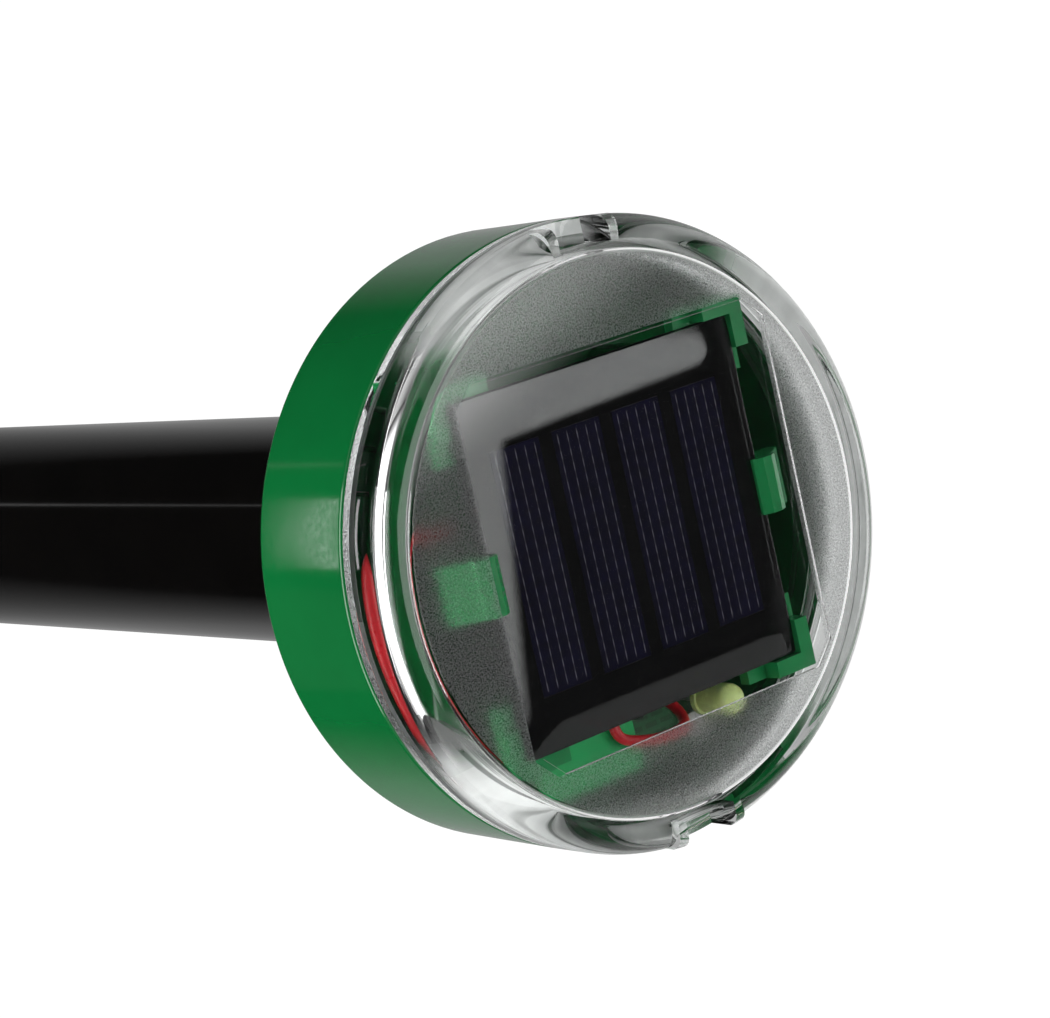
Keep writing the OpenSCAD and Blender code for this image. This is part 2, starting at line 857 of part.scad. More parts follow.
module controller_chip() {
    first_x = -(chip_rows - 1) / 2 * chip_pitch;
    color("dimgray")
        translate([chip_at[0], chip_at[1], board_top_z]) {
            translate([-chip_size[0] / 2, -chip_size[1] / 2, 0])
                cube(chip_size);
            for (i = [0 : chip_rows - 1], side = [-1, 1])
                translate([first_x + i * chip_pitch, side * chip_size[1] / 2, chip_leg[2] / 2])
                    cube(chip_leg, center = true);
        }
}

module filter_capacitor() {
    color("navy")
        translate([capacitor_at[0], capacitor_at[1], board_top_z])
            rotate_extrude()
                difference() {
                    square([capacitor_d / 2, capacitor_h]);
                    translate([capacitor_d / 2, capacitor_groove_z])
                        circle(r = capacitor_groove_r);
                }
}

module boost_coil() {
    r = coil_d / 2;
    core_r = r - coil_inset;
    color("saddlebrown")
        translate([coil_at[0], coil_at[1], board_top_z])
            rotate_extrude()
                polygon([
                    [0, 0], [r, 0], [r, coil_rim], [core_r, coil_rim],
                    [core_r, coil_h - coil_rim], [r, coil_h - coil_rim], [r, coil_h], [0, coil_h]
                ]);
}

module status_led() {
    r = led_d / 2;
    color("yellowgreen")
        translate([led_at[0], led_at[1], led_z]) {
            cylinder(r = r + led_flange_w, h = led_flange_h);
            cylinder(r = r, h = led_h - r);
            translate([0, 0, led_h - r])
                sphere(r = r);
        }
}

module led_legs() {
    color("silver")
        for (side = [-1, 1])
            translate([led_at[0] + side * led_legs_apart / 2, led_at[1], board_top_z + led_stand / 2])
                cube([led_leg_w, led_leg_w, led_stand], center = true);
}

module switch_body() {
    bore_l = plunger_in + button_travel + slip;
    color("dimgray")
        difference() {
            translate([-switch_w / 2, button_y - switch_w / 2, switch_z])
                cube([switch_w, switch_w, switch_h]);
            pillar([0, button_y], plunger_r + slip, switch_z - through, bore_l + through);
        }
}

module switch_plunger() {
    color("white")
        pillar([0, button_y], plunger_r, flange_top_z, plunger_top_z - flange_top_z);
}

module power_button() {
    edge = button_edge_r;
    color("black")
        translate([0, button_y, 0])
            rotate_extrude() {
                polygon([
                    [0, button_low_z], [button_r - edge, button_low_z], [button_r, button_low_z + edge],
                    [button_r, flange_z], [button_flange_r, flange_z], [button_flange_r, flange_top_z],
                    [0, flange_top_z]
                ]);
                translate([button_r - edge, button_low_z + edge])
                    circle(r = edge);
            }
}

module battery_cell() {
    body_l = battery_l - battery_nub_l;
    color("seagreen")
        translate([-battery_l / 2, battery_y, battery_z])
            rotate([0, 90, 0]) {
                cylinder(d = battery_nub_d, h = battery_l / 2);
                translate([0, 0, battery_nub_l])
                    cylinder(r = cell_r, h = body_l);
            }
}

module battery_plate() {
    color("silver")
        translate([plate_x, battery_y - contact_w / 2, floor_z])
            cube([contact_t, contact_w, contact_h + contact_tab]);
}

// Plate with a bent leaf that presses on the flat end of the cell
module battery_leaf() {
    low_z = battery_z - leaf_half;
    high_z = battery_z + leaf_half;
    color("silver") {
        translate([leaf_x, battery_y - contact_w / 2, floor_z])
            cube([contact_t, contact_w, contact_h + contact_tab]);
        translate([0, battery_y, 0])
            rotate([90, 0, 0])
                linear_extrude(leaf_w, center = true)
                    polygon([
                        [leaf_x, high_z], [battery_l / 2, battery_z], [leaf_x, low_z],
                        [leaf_x, low_z + 2 * contact_t], [battery_l / 2 + contact_t, battery_z],
                        [leaf_x, high_z - 2 * contact_t]
                    ]);
    }
}

module stake_tube() {
    color("black")
        difference() {
            union() {
                translate([0, 0, -tube_l])
                    cylinder(r = tube_r, h = tube_l);
                cylinder(r = neck_r, h = neck_top_z);
            }
            translate([0, 0, -tube_l - through])
                cylinder(r = tube_in_r, h = tube_l + neck_top_z + 2 * through);
        }
}

module neck_gasket() {
    color("dimgray")
        translate([0, 0, neck_top_z])
            difference() {
                cylinder(r = neck_r, h = gasket_t);
                translate([0, 0, -through])
                    cylinder(r = tube_in_r, h = gasket_t + 2 * through);
            }
}

module ground_spike() {
    band_r = tube_r - spike_step;
    bore_r = plug_r - plug_wall;
    tip_z = -tube_l - spike_l + spike_tip_r;
    rise = spike_l - spike_band - spike_tip_r;
    touch_a = atan2(rise, band_r) - acos(spike_tip_r / norm([band_r, rise]));
    touch = spike_tip_r * [cos(touch_a), sin(touch_a)] + [0, tip_z];
    color("black")
        rotate_extrude() {
            polygon([
                [0, touch[1]], touch, [band_r, -tube_l - spike_band], [band_r, -tube_l], [plug_r, -tube_l],
                [plug_r, plug_z], [bore_r, plug_z], [bore_r, -tube_l], [0, -tube_l]
            ]);
            intersection() {
                translate([0, tip_z])
                    circle(r = spike_tip_r);
                translate([0, tip_z - spike_tip_r])
                    square(2 * spike_tip_r);
            }
        }
}

module sounder_case() {
    seat_r = disc_d / 2 + seat;
    color("dimgray")
        translate([0, 0, sounder_z])
            difference() {
                cylinder(r = sounder_r, h = sounder_h);
                translate([0, 0, -through])
                    cylinder(r = seat_r, h = disc_step + disc_t + through);
                cylinder(r = seat_r - disc_seat_w, h = sounder_h - sounder_wall);
                for (side = [-1, 1])
                    pillar([side * sounder_lead_x, 0], wire_r / 2, 0, sounder_h + through);
            }
}

module sounder_disc() {
    color("goldenrod")
        translate([0, 0, disc_z])
            cylinder(d = disc_d, h = disc_t);
}

module sounder_ceramic() {
    color("lightgray")
        translate([0, 0, disc_z - ceramic_t])
            cylinder(d = ceramic_d, h = ceramic_t);
}

module panel_lead_red() {
    color("red")
        wire(panel_red_route);
}

module panel_lead_black() {
    color("black")
        wire(panel_black_route);
}

module battery_lead_red() {
    color("red")
        wire(battery_red_route);
}

module battery_lead_black() {
    color("black")
        wire(battery_black_route);
}

module sounder_lead_red() {
    color("red")
        wire(sounder_route);
}

module sounder_lead_black() {
    color("black")
        wire([for (p = sounder_route) [-p[0], p[1], p[2]]]);
}

head_housing();
stake_collar();
clear_cover();
cover_seal();
panel_carrier();
carrier_screws();
panel_board();
solar_cells();
panel_resin();
circuit_board();
board_screws();
controller_chip();
filter_capacitor();
boost_coil();
status_led();
led_legs();
switch_body();
switch_plunger();
power_button();
battery_cell();
battery_plate();
battery_leaf();
stake_tube();
neck_gasket();
ground_spike();
sounder_case();
sounder_disc();
sounder_ceramic();
panel_lead_red();
panel_lead_black();
battery_lead_red();
battery_lead_black();
sounder_lead_red();
sounder_lead_black();
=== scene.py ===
import math

import bmesh
import bpy
from bpy.props import FloatProperty, FloatVectorProperty, IntProperty, PointerProperty
from bpy.types import Operator, Panel, PropertyGroup
from mathutils import Matrix, Vector


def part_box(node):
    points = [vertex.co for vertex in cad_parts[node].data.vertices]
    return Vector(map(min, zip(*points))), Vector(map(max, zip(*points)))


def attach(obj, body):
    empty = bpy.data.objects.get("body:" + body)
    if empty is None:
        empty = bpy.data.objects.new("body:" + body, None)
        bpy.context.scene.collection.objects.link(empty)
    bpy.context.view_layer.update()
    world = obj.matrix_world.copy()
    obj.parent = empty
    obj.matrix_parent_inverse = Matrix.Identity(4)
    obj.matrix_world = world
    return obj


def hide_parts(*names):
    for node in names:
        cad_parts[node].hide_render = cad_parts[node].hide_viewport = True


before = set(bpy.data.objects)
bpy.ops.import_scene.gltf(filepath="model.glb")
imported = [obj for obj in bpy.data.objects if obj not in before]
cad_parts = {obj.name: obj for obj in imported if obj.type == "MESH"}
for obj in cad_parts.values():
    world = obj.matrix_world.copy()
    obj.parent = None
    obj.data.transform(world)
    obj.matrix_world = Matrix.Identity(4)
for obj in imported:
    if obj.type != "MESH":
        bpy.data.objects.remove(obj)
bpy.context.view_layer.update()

bl_info = {
    "name": "Solar Stake Repeller",
    "version": (1, 0, 0),
    "blender": (4, 5, 0),
    "location": "View3D > Sidebar > Repeller",
    "description": "Dresses the solids of a solar stake repeller with its clear cover, panel, wires and finishes",
    "category": "Object",
}

MM = 0.001
WHITE = (1.0, 1.0, 1.0, 1.0)
DOWN = (0.0, 0.0, -1.0)

# Refraction of the clear plastics
PLASTIC_IOR = 1.49
RESIN_IOR = 1.56
SILICONE_IOR = 1.41

# Share of the lamps' light that each clear surface lets through
CLEAR_SHARE = 0.9
WINDOW_SHARE = 0.62
FROST_SHARE = 0.22
ETCHED_SHARE = 0.6
RESIN_SHARE = 0.75

# Cover: its materials by number, the angles of its notches, and when an edge is sharp or a face flat
CLEAR, FROST, EDGE, SKIRT, WALL, WINDOW = range(6)
COVER_TONE = (0.985, 0.995, 0.99)
COVER_WAVINESS = 0.008 * MM
NOTCH_TURNS = (90.0, 270.0)
COVER_SHARP = 28.0
UPRIGHT = 0.99995
# Faces along the cover's roundings, and along the turn of a rib and of a lug
RIM_STEPS, EDGE_STEPS, FILLET_STEPS, CREST_STEPS = 36, 5, 10, 12
RIB_STEPS, LUG_STEPS = 3, 14

# Etched stretches of the cover's lower edge, skirt and inner wall, in degrees round the axis
EDGE_ETCHING = ((-38.0, 34.0), (90.0, 110.0), (-138.0, -102.0))
SKIRT_ETCHING = ((105.0, 210.0), (-210.0, -105.0))
WALL_ETCHING = ((96.0, 112.0), (-134.0, -98.0))
ETCHING_FADE = 24.0
# How often clear lines cross the etching, by angle, height and radius
LINE_STRETCH = (0.6, 700.0, 1400.0)

# Panel: how square the clear layer's corners are, and the bevel of a silver line as a share of its height
CORNER_POWER = 4
LINE_BEVEL = 0.4
SHARP = 30.0

# Carrier: height of its tongue, how much lighter its colour is painted there as painted light, and half the height
# over which that painted light ends
TONGUE_HEIGHT = 2.0 * MM
TONGUE_PAINTED_LIGHT = 2.8
TONGUE_FADE = 0.2 * MM

# Wires: points closer than this are one, no edge is sharp, and how often a face is divided
WELD = 0.01 * MM
ALL_SMOOTH = 180.0
WIRE_LEVELS = 2

# Softboxes: name, place, direction, turn in degrees, size, the setting of its brightness, width of the soft edge
SOFTBOXES = (
    ("overhead_softbox", (0.279, 0.034, 0.9), DOWN, 22.0, (0.95, 0.55), "key", 0.05),
    ("front_softbox", (0.66, -0.54, 0.9), DOWN, 0.0, (0.9, 0.28), "front", 0.03),
    ("right_softbox", (1.2, -0.25, 0.5), (-0.9, 0.18, -0.38), 0.0, (0.6, 0.45), "right", 0.11),
)
# Cards on the floor: name, place, turn in degrees, size, brightness
CARDS = (
    ("wall_card", (-0.222, 0.061), 75.0, (0.1, 0.012), 4.5),
    ("fade_card", (-0.205, -0.085), 115.0, (0.15, 0.05), 0.06),
    ("tube_card", (-0.125, 0.1), 140.0, (0.17, 0.006), 0.9),
)
CARD_LIFT = 0.5 * MM
CARD_EDGE = 4.0 * MM

# Floor: half its width, its brightness to the eye and the share of that, and how it fades where gloss mirrors it
FLOOR_REACH = 4.0
FLOOR_GLOW = 1.1
FLOOR_SHARE = 0.88
FADE_SLANT = -0.4
FADE_ENDS = (-0.05, 0.55)
FADE_DARK = 0.012
FADE_STEPS = ((0.2, 0.36), (0.55, 0.4))

# Room: heights between which the white surroundings turn into the dark ceiling, and the ceiling's brightness
CEILING_ENDS = (0.12, 0.5)
CEILING = 0.02
SENSOR_WIDTH = 36.0


# Values that a user would change

def length(name, description, millimetres):
    """A length property in metres whose default is given in millimetres."""
    return FloatProperty(name=name, description=description, default=millimetres * MM, min=0.0,
                         unit="LENGTH", subtype="DISTANCE", precision=5)


def paint(name, description, colour):
    """A colour property in linear light."""
    return FloatVectorProperty(name=name, description=description, default=colour, min=0.0, max=1.0,
                               size=3, subtype="COLOR")


class CoverSizes(PropertyGroup):
    """Sizes of the clear cover."""
    rim_rounding: length("Rim rounding", "Radius of the cover's outer rim", 4.4)
    face: length("Face", "Thickness of the flat face", 2.2)
    inside_fillet: length("Inside fillet", "Fillet between the face and the side wall, inside", 0.9)
    edge_break: length("Edge break", "Rounding of the cover's lower outside edge", 0.35)
    skirt: length("Skirt", "Thickness of the skirt inside the housing", 2.6)
    skirt_gap: length("Skirt gap", "How far the skirt stays inside the wall's outside", 2.7)
    etch_low: length("Etching", "Height of the etched zone above the skirt's lower edge", 4.0)
    etch_height: length("Etching height", "Height of the etched zone inside the skirt", 1.9)
    rim_lift: length("Rim lift", "Height of the wall's lower edge above the skirt's lower edge", 6.15)
    groove_low: length("Groove", "Height of the seal's groove above the skirt's lower edge", 3.6)
    groove_height: length("Groove height", "Height of the seal's groove", 1.8)
    groove_depth: length("Groove depth", "Depth of the seal's groove", 1.55)
    window: length("Window", "Width of the clear square window", 60.0)
    window_shift: length("Window place", "How far the window lies off the axis, along X", 1.5)
    window_cut: length("Window corner", "Chamfer at the window's corners", 3.5)
    clear_past: length("Clear edge", "How far the face stays clear past the window", 0.6)
    window_step: length("Window step", "Depth of the window's step", 0.3)
    window_slope: length("Window slope", "How far the step's edge slopes inwards", 0.12)
    notch_width: length("Notch width", "Width of a grip notch", 10.0)
    notch_reach: length("Notch reach", "How far a notch reaches in from the side", 4.4)
    notch_drop: length("Notch drop", "How far a notch reaches down from the face", 6.5)
    rib_width: length("Rib width", "Width of the rib on each side of a notch", 2.0)
    rib_rounding: length("Rib rounding", "Rounding of a rib's crest", 2.2)
    rib_lift: length("Rib foot", "Height of a rib's foot above the wall's lower edge", 0.85)
    lug_out: length("Lug", "How far a locking lug stands out of the skirt", 1.0)
    lug_height: length("Lug height", "Height of a locking lug", 2.0)
    lug_low: length("Lug place", "Height of a lug above the skirt's lower edge", 0.5)
    lug_angle: FloatProperty(name="Lug angle", description="Angle that a locking lug spans",
                             default=math.radians(14.0), subtype="ANGLE", unit="ROTATION")
    segments: IntProperty(name="Segments", description="Faces round the cover", default=240, min=48, max=480)


class WireSizes(PropertyGroup):
    """Sizes of the insulated wires."""
    swell: length("Swell", "How far a wire's corners move out before they are rounded", 0.16)


class PanelSizes(PropertyGroup):
    """Sizes of the solar panel's clear layer and of the silver lines on its cells."""
    margin: length("Margin", "Width of the margin in which the clear layer falls away", 8.0)
    fall: length("Fall", "How far the clear layer falls over its margin", 0.6)
    sink: length("Sink", "How far the clear layer dips into the board", 0.05)
    line_width: length("Line width", "Width of a silver line", 0.17)
    line_height: length("Line height", "Height of a silver line above its cell", 0.02)
    line_inset: length("Line inset", "Distance from a cell's end to the end of a line", 0.6)
    lines: IntProperty(name="Lines", description="Silver lines on each cell", default=5, min=1, max=12)
    grid: IntProperty(name="Grid", description="Faces along the clear layer's side", default=72, min=8, max=200)


class FinishColours(PropertyGroup):
    """Colours of the finishes, in linear light."""
    housing: paint("Housing", "Gloss green of the head", (0.002, 0.118, 0.026))
    carrier: paint("Carrier", "Green of the panel's carrier", (0.011, 0.23, 0.065))
    stake: paint("Stake", "Gloss black of the tube and the spike", (0.0015, 0.0013, 0.0012))
    cell: paint("Cells", "Dark blue of the silicon cells", (0.0045, 0.0035, 0.024))
    board: paint("Panel board", "Black of the panel's board", (0.003, 0.003, 0.0035))
    wire: paint("Red wire", "Insulation of the red wires", (0.56, 0.012, 0.02))
    lamp: paint("Lamp", "Tinted resin of the lamp", (0.74, 0.90, 0.36))
    floor: paint("Floor", "Studio floor", (0.9, 0.9, 0.9))


class StageSetup(PropertyGroup):
    """Camera and light."""
    camera_at: FloatVectorProperty(name="Camera", description="Place of the camera", size=3,
                                   default=(-0.29078, 0.08775, 0.41613), subtype="TRANSLATION", unit="LENGTH")
    camera_ahead: FloatVectorProperty(name="View", description="Direction in which the camera looks", size=3,
                                      default=(0.58150, -0.16774, -0.79606), subtype="DIRECTION")
    camera_up: FloatVectorProperty(name="Up", description="Direction of the picture's upper edge", size=3,
                                   default=(0.27434, 0.96163, -0.00222), subtype="DIRECTION")
    lens: FloatProperty(name="Lens", description="Focal length on a sensor 36 mm wide", default=107.71,
                        unit="CAMERA", min=10.0, max=500.0)
    key: FloatProperty(name="Overhead softbox", description="Brightness of the softbox above the cover",
                       default=3.4, min=0.0)
    right: FloatProperty(name="Right softbox", description="Brightness of the softbox beyond the right rim",
                         default=3.2, min=0.0)
    front: FloatProperty(name="Front softbox", description="Brightness of the softbox above the panel's lower edge",
                         default=0.5, min=0.0)
    fill: FloatProperty(name="Side light", description="Power of the light on the housing's side", default=5.8,
                        min=0.0, unit="POWER")
    room: FloatProperty(name="Room light", description="Brightness of the room", default=0.3, min=0.0)


# Making meshes

def make_piece(name, mesh, body, slot, *nodes):
    """Put a mesh into the scene as a piece that rides on a body and stands for CAD nodes."""
    piece = bpy.data.objects.new(name, mesh)
    bpy.context.scene.collection.objects.link(piece)
    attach(piece, body)
    if nodes:
        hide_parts(*nodes)
    return piece


def finish_mesh(bm, name, sharp_degrees):
    """Turn a bmesh into a mesh with smooth faces and sharp edges above an angle."""
    bmesh.ops.recalc_face_normals(bm, faces=bm.faces)
    mesh = bpy.data.meshes.new(name)
    bm.to_mesh(mesh)
    bm.free()
    mesh.shade_smooth()
    mesh.set_sharp_from_angle(angle=math.radians(sharp_degrees))
    return mesh


def circle(bm, radius, height, angles):
    """Ring of vertices round the axis."""
    return [bm.verts.new((radius * math.cos(a), radius * math.sin(a), height)) for a in angles]


def close_strip(bm, first, second, material):
    """Quads between two closed rings of the same count."""
    count = len(first)
    for i in range(count):
        j = (i + 1) % count
        bm.faces.new((first[i], first[j], second[j], second[i])).material_index = material


def fill_between(bm, outer, inner, material):
    """Triangles between a closed ring and a smaller one in the same plane."""
    edges = []
    for loop in (outer, inner):
        for i, vert in enumerate(loop):
            pair = (vert, loop[(i + 1) % len(loop)])
            edges.append(bm.edges.get(pair) or bm.edges.new(pair))
    made = bmesh.ops.triangle_fill(bm, use_beauty=True, use_dissolve=False, edges=edges)
    for item in made["geom"]:
        if isinstance(item, bmesh.types.BMFace):
            item.material_index = material


def arc_points(centre, radius, start, end, steps):
    """Points (radius, height) on an arc, with angles in degrees."""
    angles = [math.radians(start + (end - start) * i / steps) for i in range(steps + 1)]
    return [(centre[0] + radius * math.cos(a), centre[1] + radius * math.sin(a)) for a in angles]


def wedge(profile, start, end, steps):
    """Closed solid made by turning a profile of (radius, height) points from one angle to another."""
    bm = bmesh.new()
    angles = [start + (end - start) * i / steps for i in range(steps + 1)]
    rows = [[bm.verts.new((r * math.cos(a), r * math.sin(a), z)) for r, z in profile] for a in angles]
    count = len(profile)
    for first, second in zip(rows, rows[1:]):
        for i in range(count):
            j = (i + 1) % count
            bm.faces.new((first[i], first[j], second[j], second[i]))
    bm.faces.new(rows[0])
    bm.faces.new(rows[-1])
    bmesh.ops.recalc_face_normals(bm, faces=bm.faces)
    return bm


def block(low, high, turn):
    """Closed box between two corners, turned about the upright axis."""
    bm = bmesh.new()
    bmesh.ops.create_cube(bm, size=1.0)
    middle, span = (low + high) / 2, high - low
    bmesh.ops.transform(bm, verts=bm.verts, matrix=Matrix.Rotation(turn, 4, "Z")
                        @ Matrix.Translation(middle) @ Matrix.Diagonal((*span, 1.0)))
    return bm


def combine(mesh, bm, operation):
    """Join a closed shape to a mesh or cut it out, and give the new mesh."""
    tool_mesh = bpy.data.meshes.new("shaping_tool")
    bm.to_mesh(tool_mesh)
    bm.free()
    for material in mesh.materials:
        tool_mesh.materials.append(material)
    tool = bpy.data.objects.new("shaping_tool", tool_mesh)
    work = bpy.data.objects.new("shaped_work", mesh)
    for item in (tool, work):
        bpy.context.scene.collection.objects.link(item)
    step = work.modifiers.new("shape", "BOOLEAN")
    step.operation = operation
    step.solver = "EXACT"
    step.object = tool
    shaped = bpy.data.meshes.new_from_object(work.evaluated_get(bpy.context.evaluated_depsgraph_get()))
    bpy.data.objects.remove(tool)
    bpy.data.objects.remove(work)
    bpy.data.meshes.remove(tool_mesh)
    bpy.data.meshes.remove(mesh)
    return shaped


def cut_corner_square(shift, width, cut, height):
    """Corners of a square with chamfers, off the axis along X, at a height, anticlockwise."""
    h = width / 2
    flat = [(h, cut - h), (h, h - cut), (h - cut, h), (cut - h, h),
            (-h, h - cut), (-h, cut - h), (cut - h, -h), (h - cut, -h)]
    return [(x + shift, y, height) for x, y in flat]


# Making materials

def blank_material(name):
    """New material with its principled shader and its node tree."""
    material = bpy.data.materials.new(name)
    material.use_nodes = True
    tree = material.node_tree
    return material, tree, tree.nodes["Principled BSDF"]


def plug(tree, node, inputs):
    """Set a node's inputs by name or number. A socket is linked, anything else is the value."""
    for key, value in inputs.items():
        if isinstance(value, bpy.types.NodeSocket):
            tree.links.new(value, node.inputs[key])
        else:
            node.inputs[key].default_value = value


def add_node(tree, kind, inputs=None, **attributes):
    """Node of a kind with its attributes and inputs."""
    made = tree.nodes.new(kind)
    for key, value in attributes.items():
        setattr(made, key, value)
    plug(tree, made, inputs or {})
    return made


def maths(tree, operation, first, second=0.0):
    """Result of an operation on sockets or numbers."""
    return add_node(tree, "ShaderNodeMath", {0: first, 1: second}, operation=operation).outputs[0]


def vector_maths(tree, operation, inputs, output="Vector"):
    """Result of an operation on vectors."""
    return add_node(tree, "ShaderNodeVectorMath", inputs, operation=operation).outputs[output]


def own_place(tree):
    """Coordinates of the object itself."""
    return add_node(tree, "ShaderNodeTexCoord").outputs["Object"]


def axes(tree, vector):
    """X, Y and Z of a vector."""
    return add_node(tree, "ShaderNodeSeparateXYZ", {"Vector": vector}).outputs


def pattern(tree, kind, inputs, output="Fac", vector=None, **attributes):
    """Value of a texture, in the object's own coordinates unless others are given."""
    if vector is None:
        vector = own_place(tree)
    return add_node(tree, "ShaderNodeTex" + kind, {"Vector": vector, **inputs}, **attributes).outputs[output]


def grain(tree, scale, detail=3.0, roughness=0.5):
    """Noise in the object's own coordinates."""
    return pattern(tree, "Noise", {"Scale": scale, "Detail": detail, "Roughness": roughness})


def spread(tree, source, low, high, start=0.3, end=0.7, curve="LINEAR"):
    """Map a value to a range."""
    ends = {"Value": source, "From Min": start, "From Max": end, "To Min": low, "To Max": high}
    return add_node(tree, "ShaderNodeMapRange", ends, interpolation_type=curve).outputs["Result"]


def tint(tree, source, colour, low, high, start=0.3, end=0.7):
    """Colour that a value varies between a darker and a lighter shade."""
    ramp = add_node(tree, "ShaderNodeValToRGB", {"Fac": source})
    for stop, place, gain in zip(ramp.color_ramp.elements, (start, end), (low, high)):
        stop.position = place
        stop.color = (*[min(c * gain, 1.0) for c in colour], 1.0)
    return ramp.outputs["Color"]


def relief(tree, source, strength, depth):
    """Normal that follows a value as relief."""
    inputs = {"Height": source, "Strength": strength, "Distance": depth}
    return add_node(tree, "ShaderNodeBump", inputs).outputs["Normal"]


def mix_shaders(tree, share, first, second):
    """Two shaders mixed by the share of the second."""
    return add_node(tree, "ShaderNodeMixShader", {"Fac": share, 1: first, 2: second}).outputs["Shader"]


def show(tree, shader):
    """Make a shader the surface of its material."""
    plug(tree, tree.nodes["Material Output"], {"Surface": shader})


def let_light_through(tree, shader, share):
    """Let the lamps shine through a clear piece, so that what it covers is lit."""
    shadow = add_node(tree, "ShaderNodeLightPath").outputs["Is Shadow Ray"]
    clear = add_node(tree, "ShaderNodeBsdfTransparent", {"Color": (share, share, share, 1.0)})
    show(tree, mix_shaders(tree, shadow, shader.outputs["BSDF"], clear.outputs["BSDF"]))


def moulded_plastic(name, colour, gloss, waviness=0.00002, mottle=0.06, specular=0.5):
    """Moulded plastic: faint flow mottling, slightly uneven gloss and a shallow waviness."""
    material, tree, shader = blank_material(name)
    flow = grain(tree, 55.0, 4.0)
    handling = grain(tree, 900.0, 5.0, 0.6)
    wave = grain(tree, 140.0, 2.0)
    plug(tree, shader, {
        "Base Color": tint(tree, flow, colour, 1.0 - mottle, 1.0 + mottle),
        "Roughness": spread(tree, handling, gloss * 0.8, gloss * 1.35),
        "Normal": relief(tree, wave, 0.35, waviness),
        "IOR": PLASTIC_IOR,
        "Specular IOR Level": specular,
    })
    return material


def matt_finish(name, colour, roughness, scale=2500.0, depth=0.00003):
    """Matt moulded or pressed finish with a fine grain."""
    material, tree, shader = blank_material(name)
    fine = grain(tree, scale, 3.0)
    cloud = grain(tree, 120.0, 3.0)
    plug(tree, shader, {
        "Base Color": tint(tree, cloud, colour, 0.85, 1.12),
        "Roughness": spread(tree, fine, roughness * 0.85, min(roughness * 1.15, 1.0)),
        "Normal": relief(tree, fine, 0.5, depth),
    })
    return material


def plated_metal(name, colour, roughness):
    """Plated or rolled metal with fine drawing marks."""
    material, tree, shader = blank_material(name)
    stretch = add_node(tree, "ShaderNodeMapping", {"Vector": own_place(tree), "Scale": (4000.0, 300.0, 300.0)})
    marks = pattern(tree, "Noise", {"Scale": 1.0, "Detail": 4.0}, vector=stretch.outputs["Vector"])
    plug(tree, shader, {
        "Base Color": tint(tree, marks, colour, 0.85, 1.05),
        "Roughness": spread(tree, marks, roughness * 0.7, roughness * 1.4),
        "Normal": relief(tree, marks, 0.2, 0.00001),
        "Metallic": 1.0,
    })
    return material


def polished_clear(name, tone, index, waviness, share):
    """Polished clear plastic or resin with a very shallow waviness."""
    material, tree, shader = blank_material(name)
    wave = grain(tree, 160.0, 2.0)
    smear = grain(tree, 600.0, 4.0)
    plug(tree, shader, {
        "Base Color": (*tone, 1.0),
        "Roughness": spread(tree, smear, 0.0, 0.03),
        "Normal": relief(tree, wave, 0.3, waviness),
        "Transmission Weight": 1.0,
        "IOR": index,
    })
    let_light_through(tree, shader, share)
    return material


def frosted_clear(name):
    """Spark-textured clear plastic: a fine grain that scatters light, with specks that sparkle."""
    material, tree, shader = blank_material(name)
    pits = grain(tree, 4600.0, 2.0, 0.6)
    specks = grain(tree, 3400.0, 3.0, 0.7)
    plug(tree, shader, {
        "Base Color": tint(tree, specks, (0.97, 0.975, 0.98), 0.36, 1.0, 0.42, 0.62),
        "Specular Tint": tint(tree, specks, (1.0, 1.0, 1.0), 0.0, 1.0, 0.46, 0.66),
        "Transmission Weight": spread(tree, specks, 1.0, 0.93, 0.52, 0.7),
        "Roughness": spread(tree, pits, 0.2, 0.42),
        "Normal": relief(tree, pits, 0.7, 0.00005),
        "IOR": PLASTIC_IOR,
    })
    let_light_through(tree, shader, FROST_SHARE)
    return material


def etched_clear(name, stretches):
    """Polished clear plastic with etched stretches, which show white between fine clear lines."""
    material, tree, shader = blank_material(name)
    place = own_place(tree)
    x, y, z = axes(tree, place)
    angle = maths(tree, "ARCTAN2", y, x)
    share = 0.0
    for start, end in stretches:
        middle, reach = math.radians((start + end) / 2), math.radians((end - start) / 2)
        away = maths(tree, "ABSOLUTE", maths(tree, "SUBTRACT", angle, middle))
        etched = spread(tree, away, 0.0, 1.0, reach + math.radians(ETCHING_FADE), reach, "SMOOTHERSTEP")
        share = maths(tree, "MAXIMUM", share, etched)
    flat = vector_maths(tree, "MULTIPLY", {0: place, 1: (1.0, 1.0, 0.0)})
    radius = vector_maths(tree, "LENGTH", {0: flat}, "Value")
    round_axis = add_node(tree, "ShaderNodeCombineXYZ", {"X": angle, "Y": z, "Z": radius}).outputs["Vector"]
    drawn = vector_maths(tree, "MULTIPLY", {0: round_axis, 1: LINE_STRETCH})
    lines = pattern(tree, "Noise", {"Scale": 1.0, "Detail": 2.0, "Roughness": 0.6}, vector=drawn)
    share = maths(tree, "MULTIPLY", share, spread(tree, lines, 0.3, 1.0, 0.4, 0.52))
    haze = grain(tree, 260.0, 4.0, 0.6)
    plug(tree, shader, {
        "Base Color": tint(tree, haze, (0.95, 0.97, 0.96), 0.88, 1.03),
        "Transmission Weight": spread(tree, share, 1.0, 0.06, 0.0, 1.0),
        "Roughness": spread(tree, share, 0.0, 0.6, 0.0, 1.0),
        "IOR": PLASTIC_IOR,
    })
    let_light_through(tree, shader, ETCHED_SHARE)
    return material


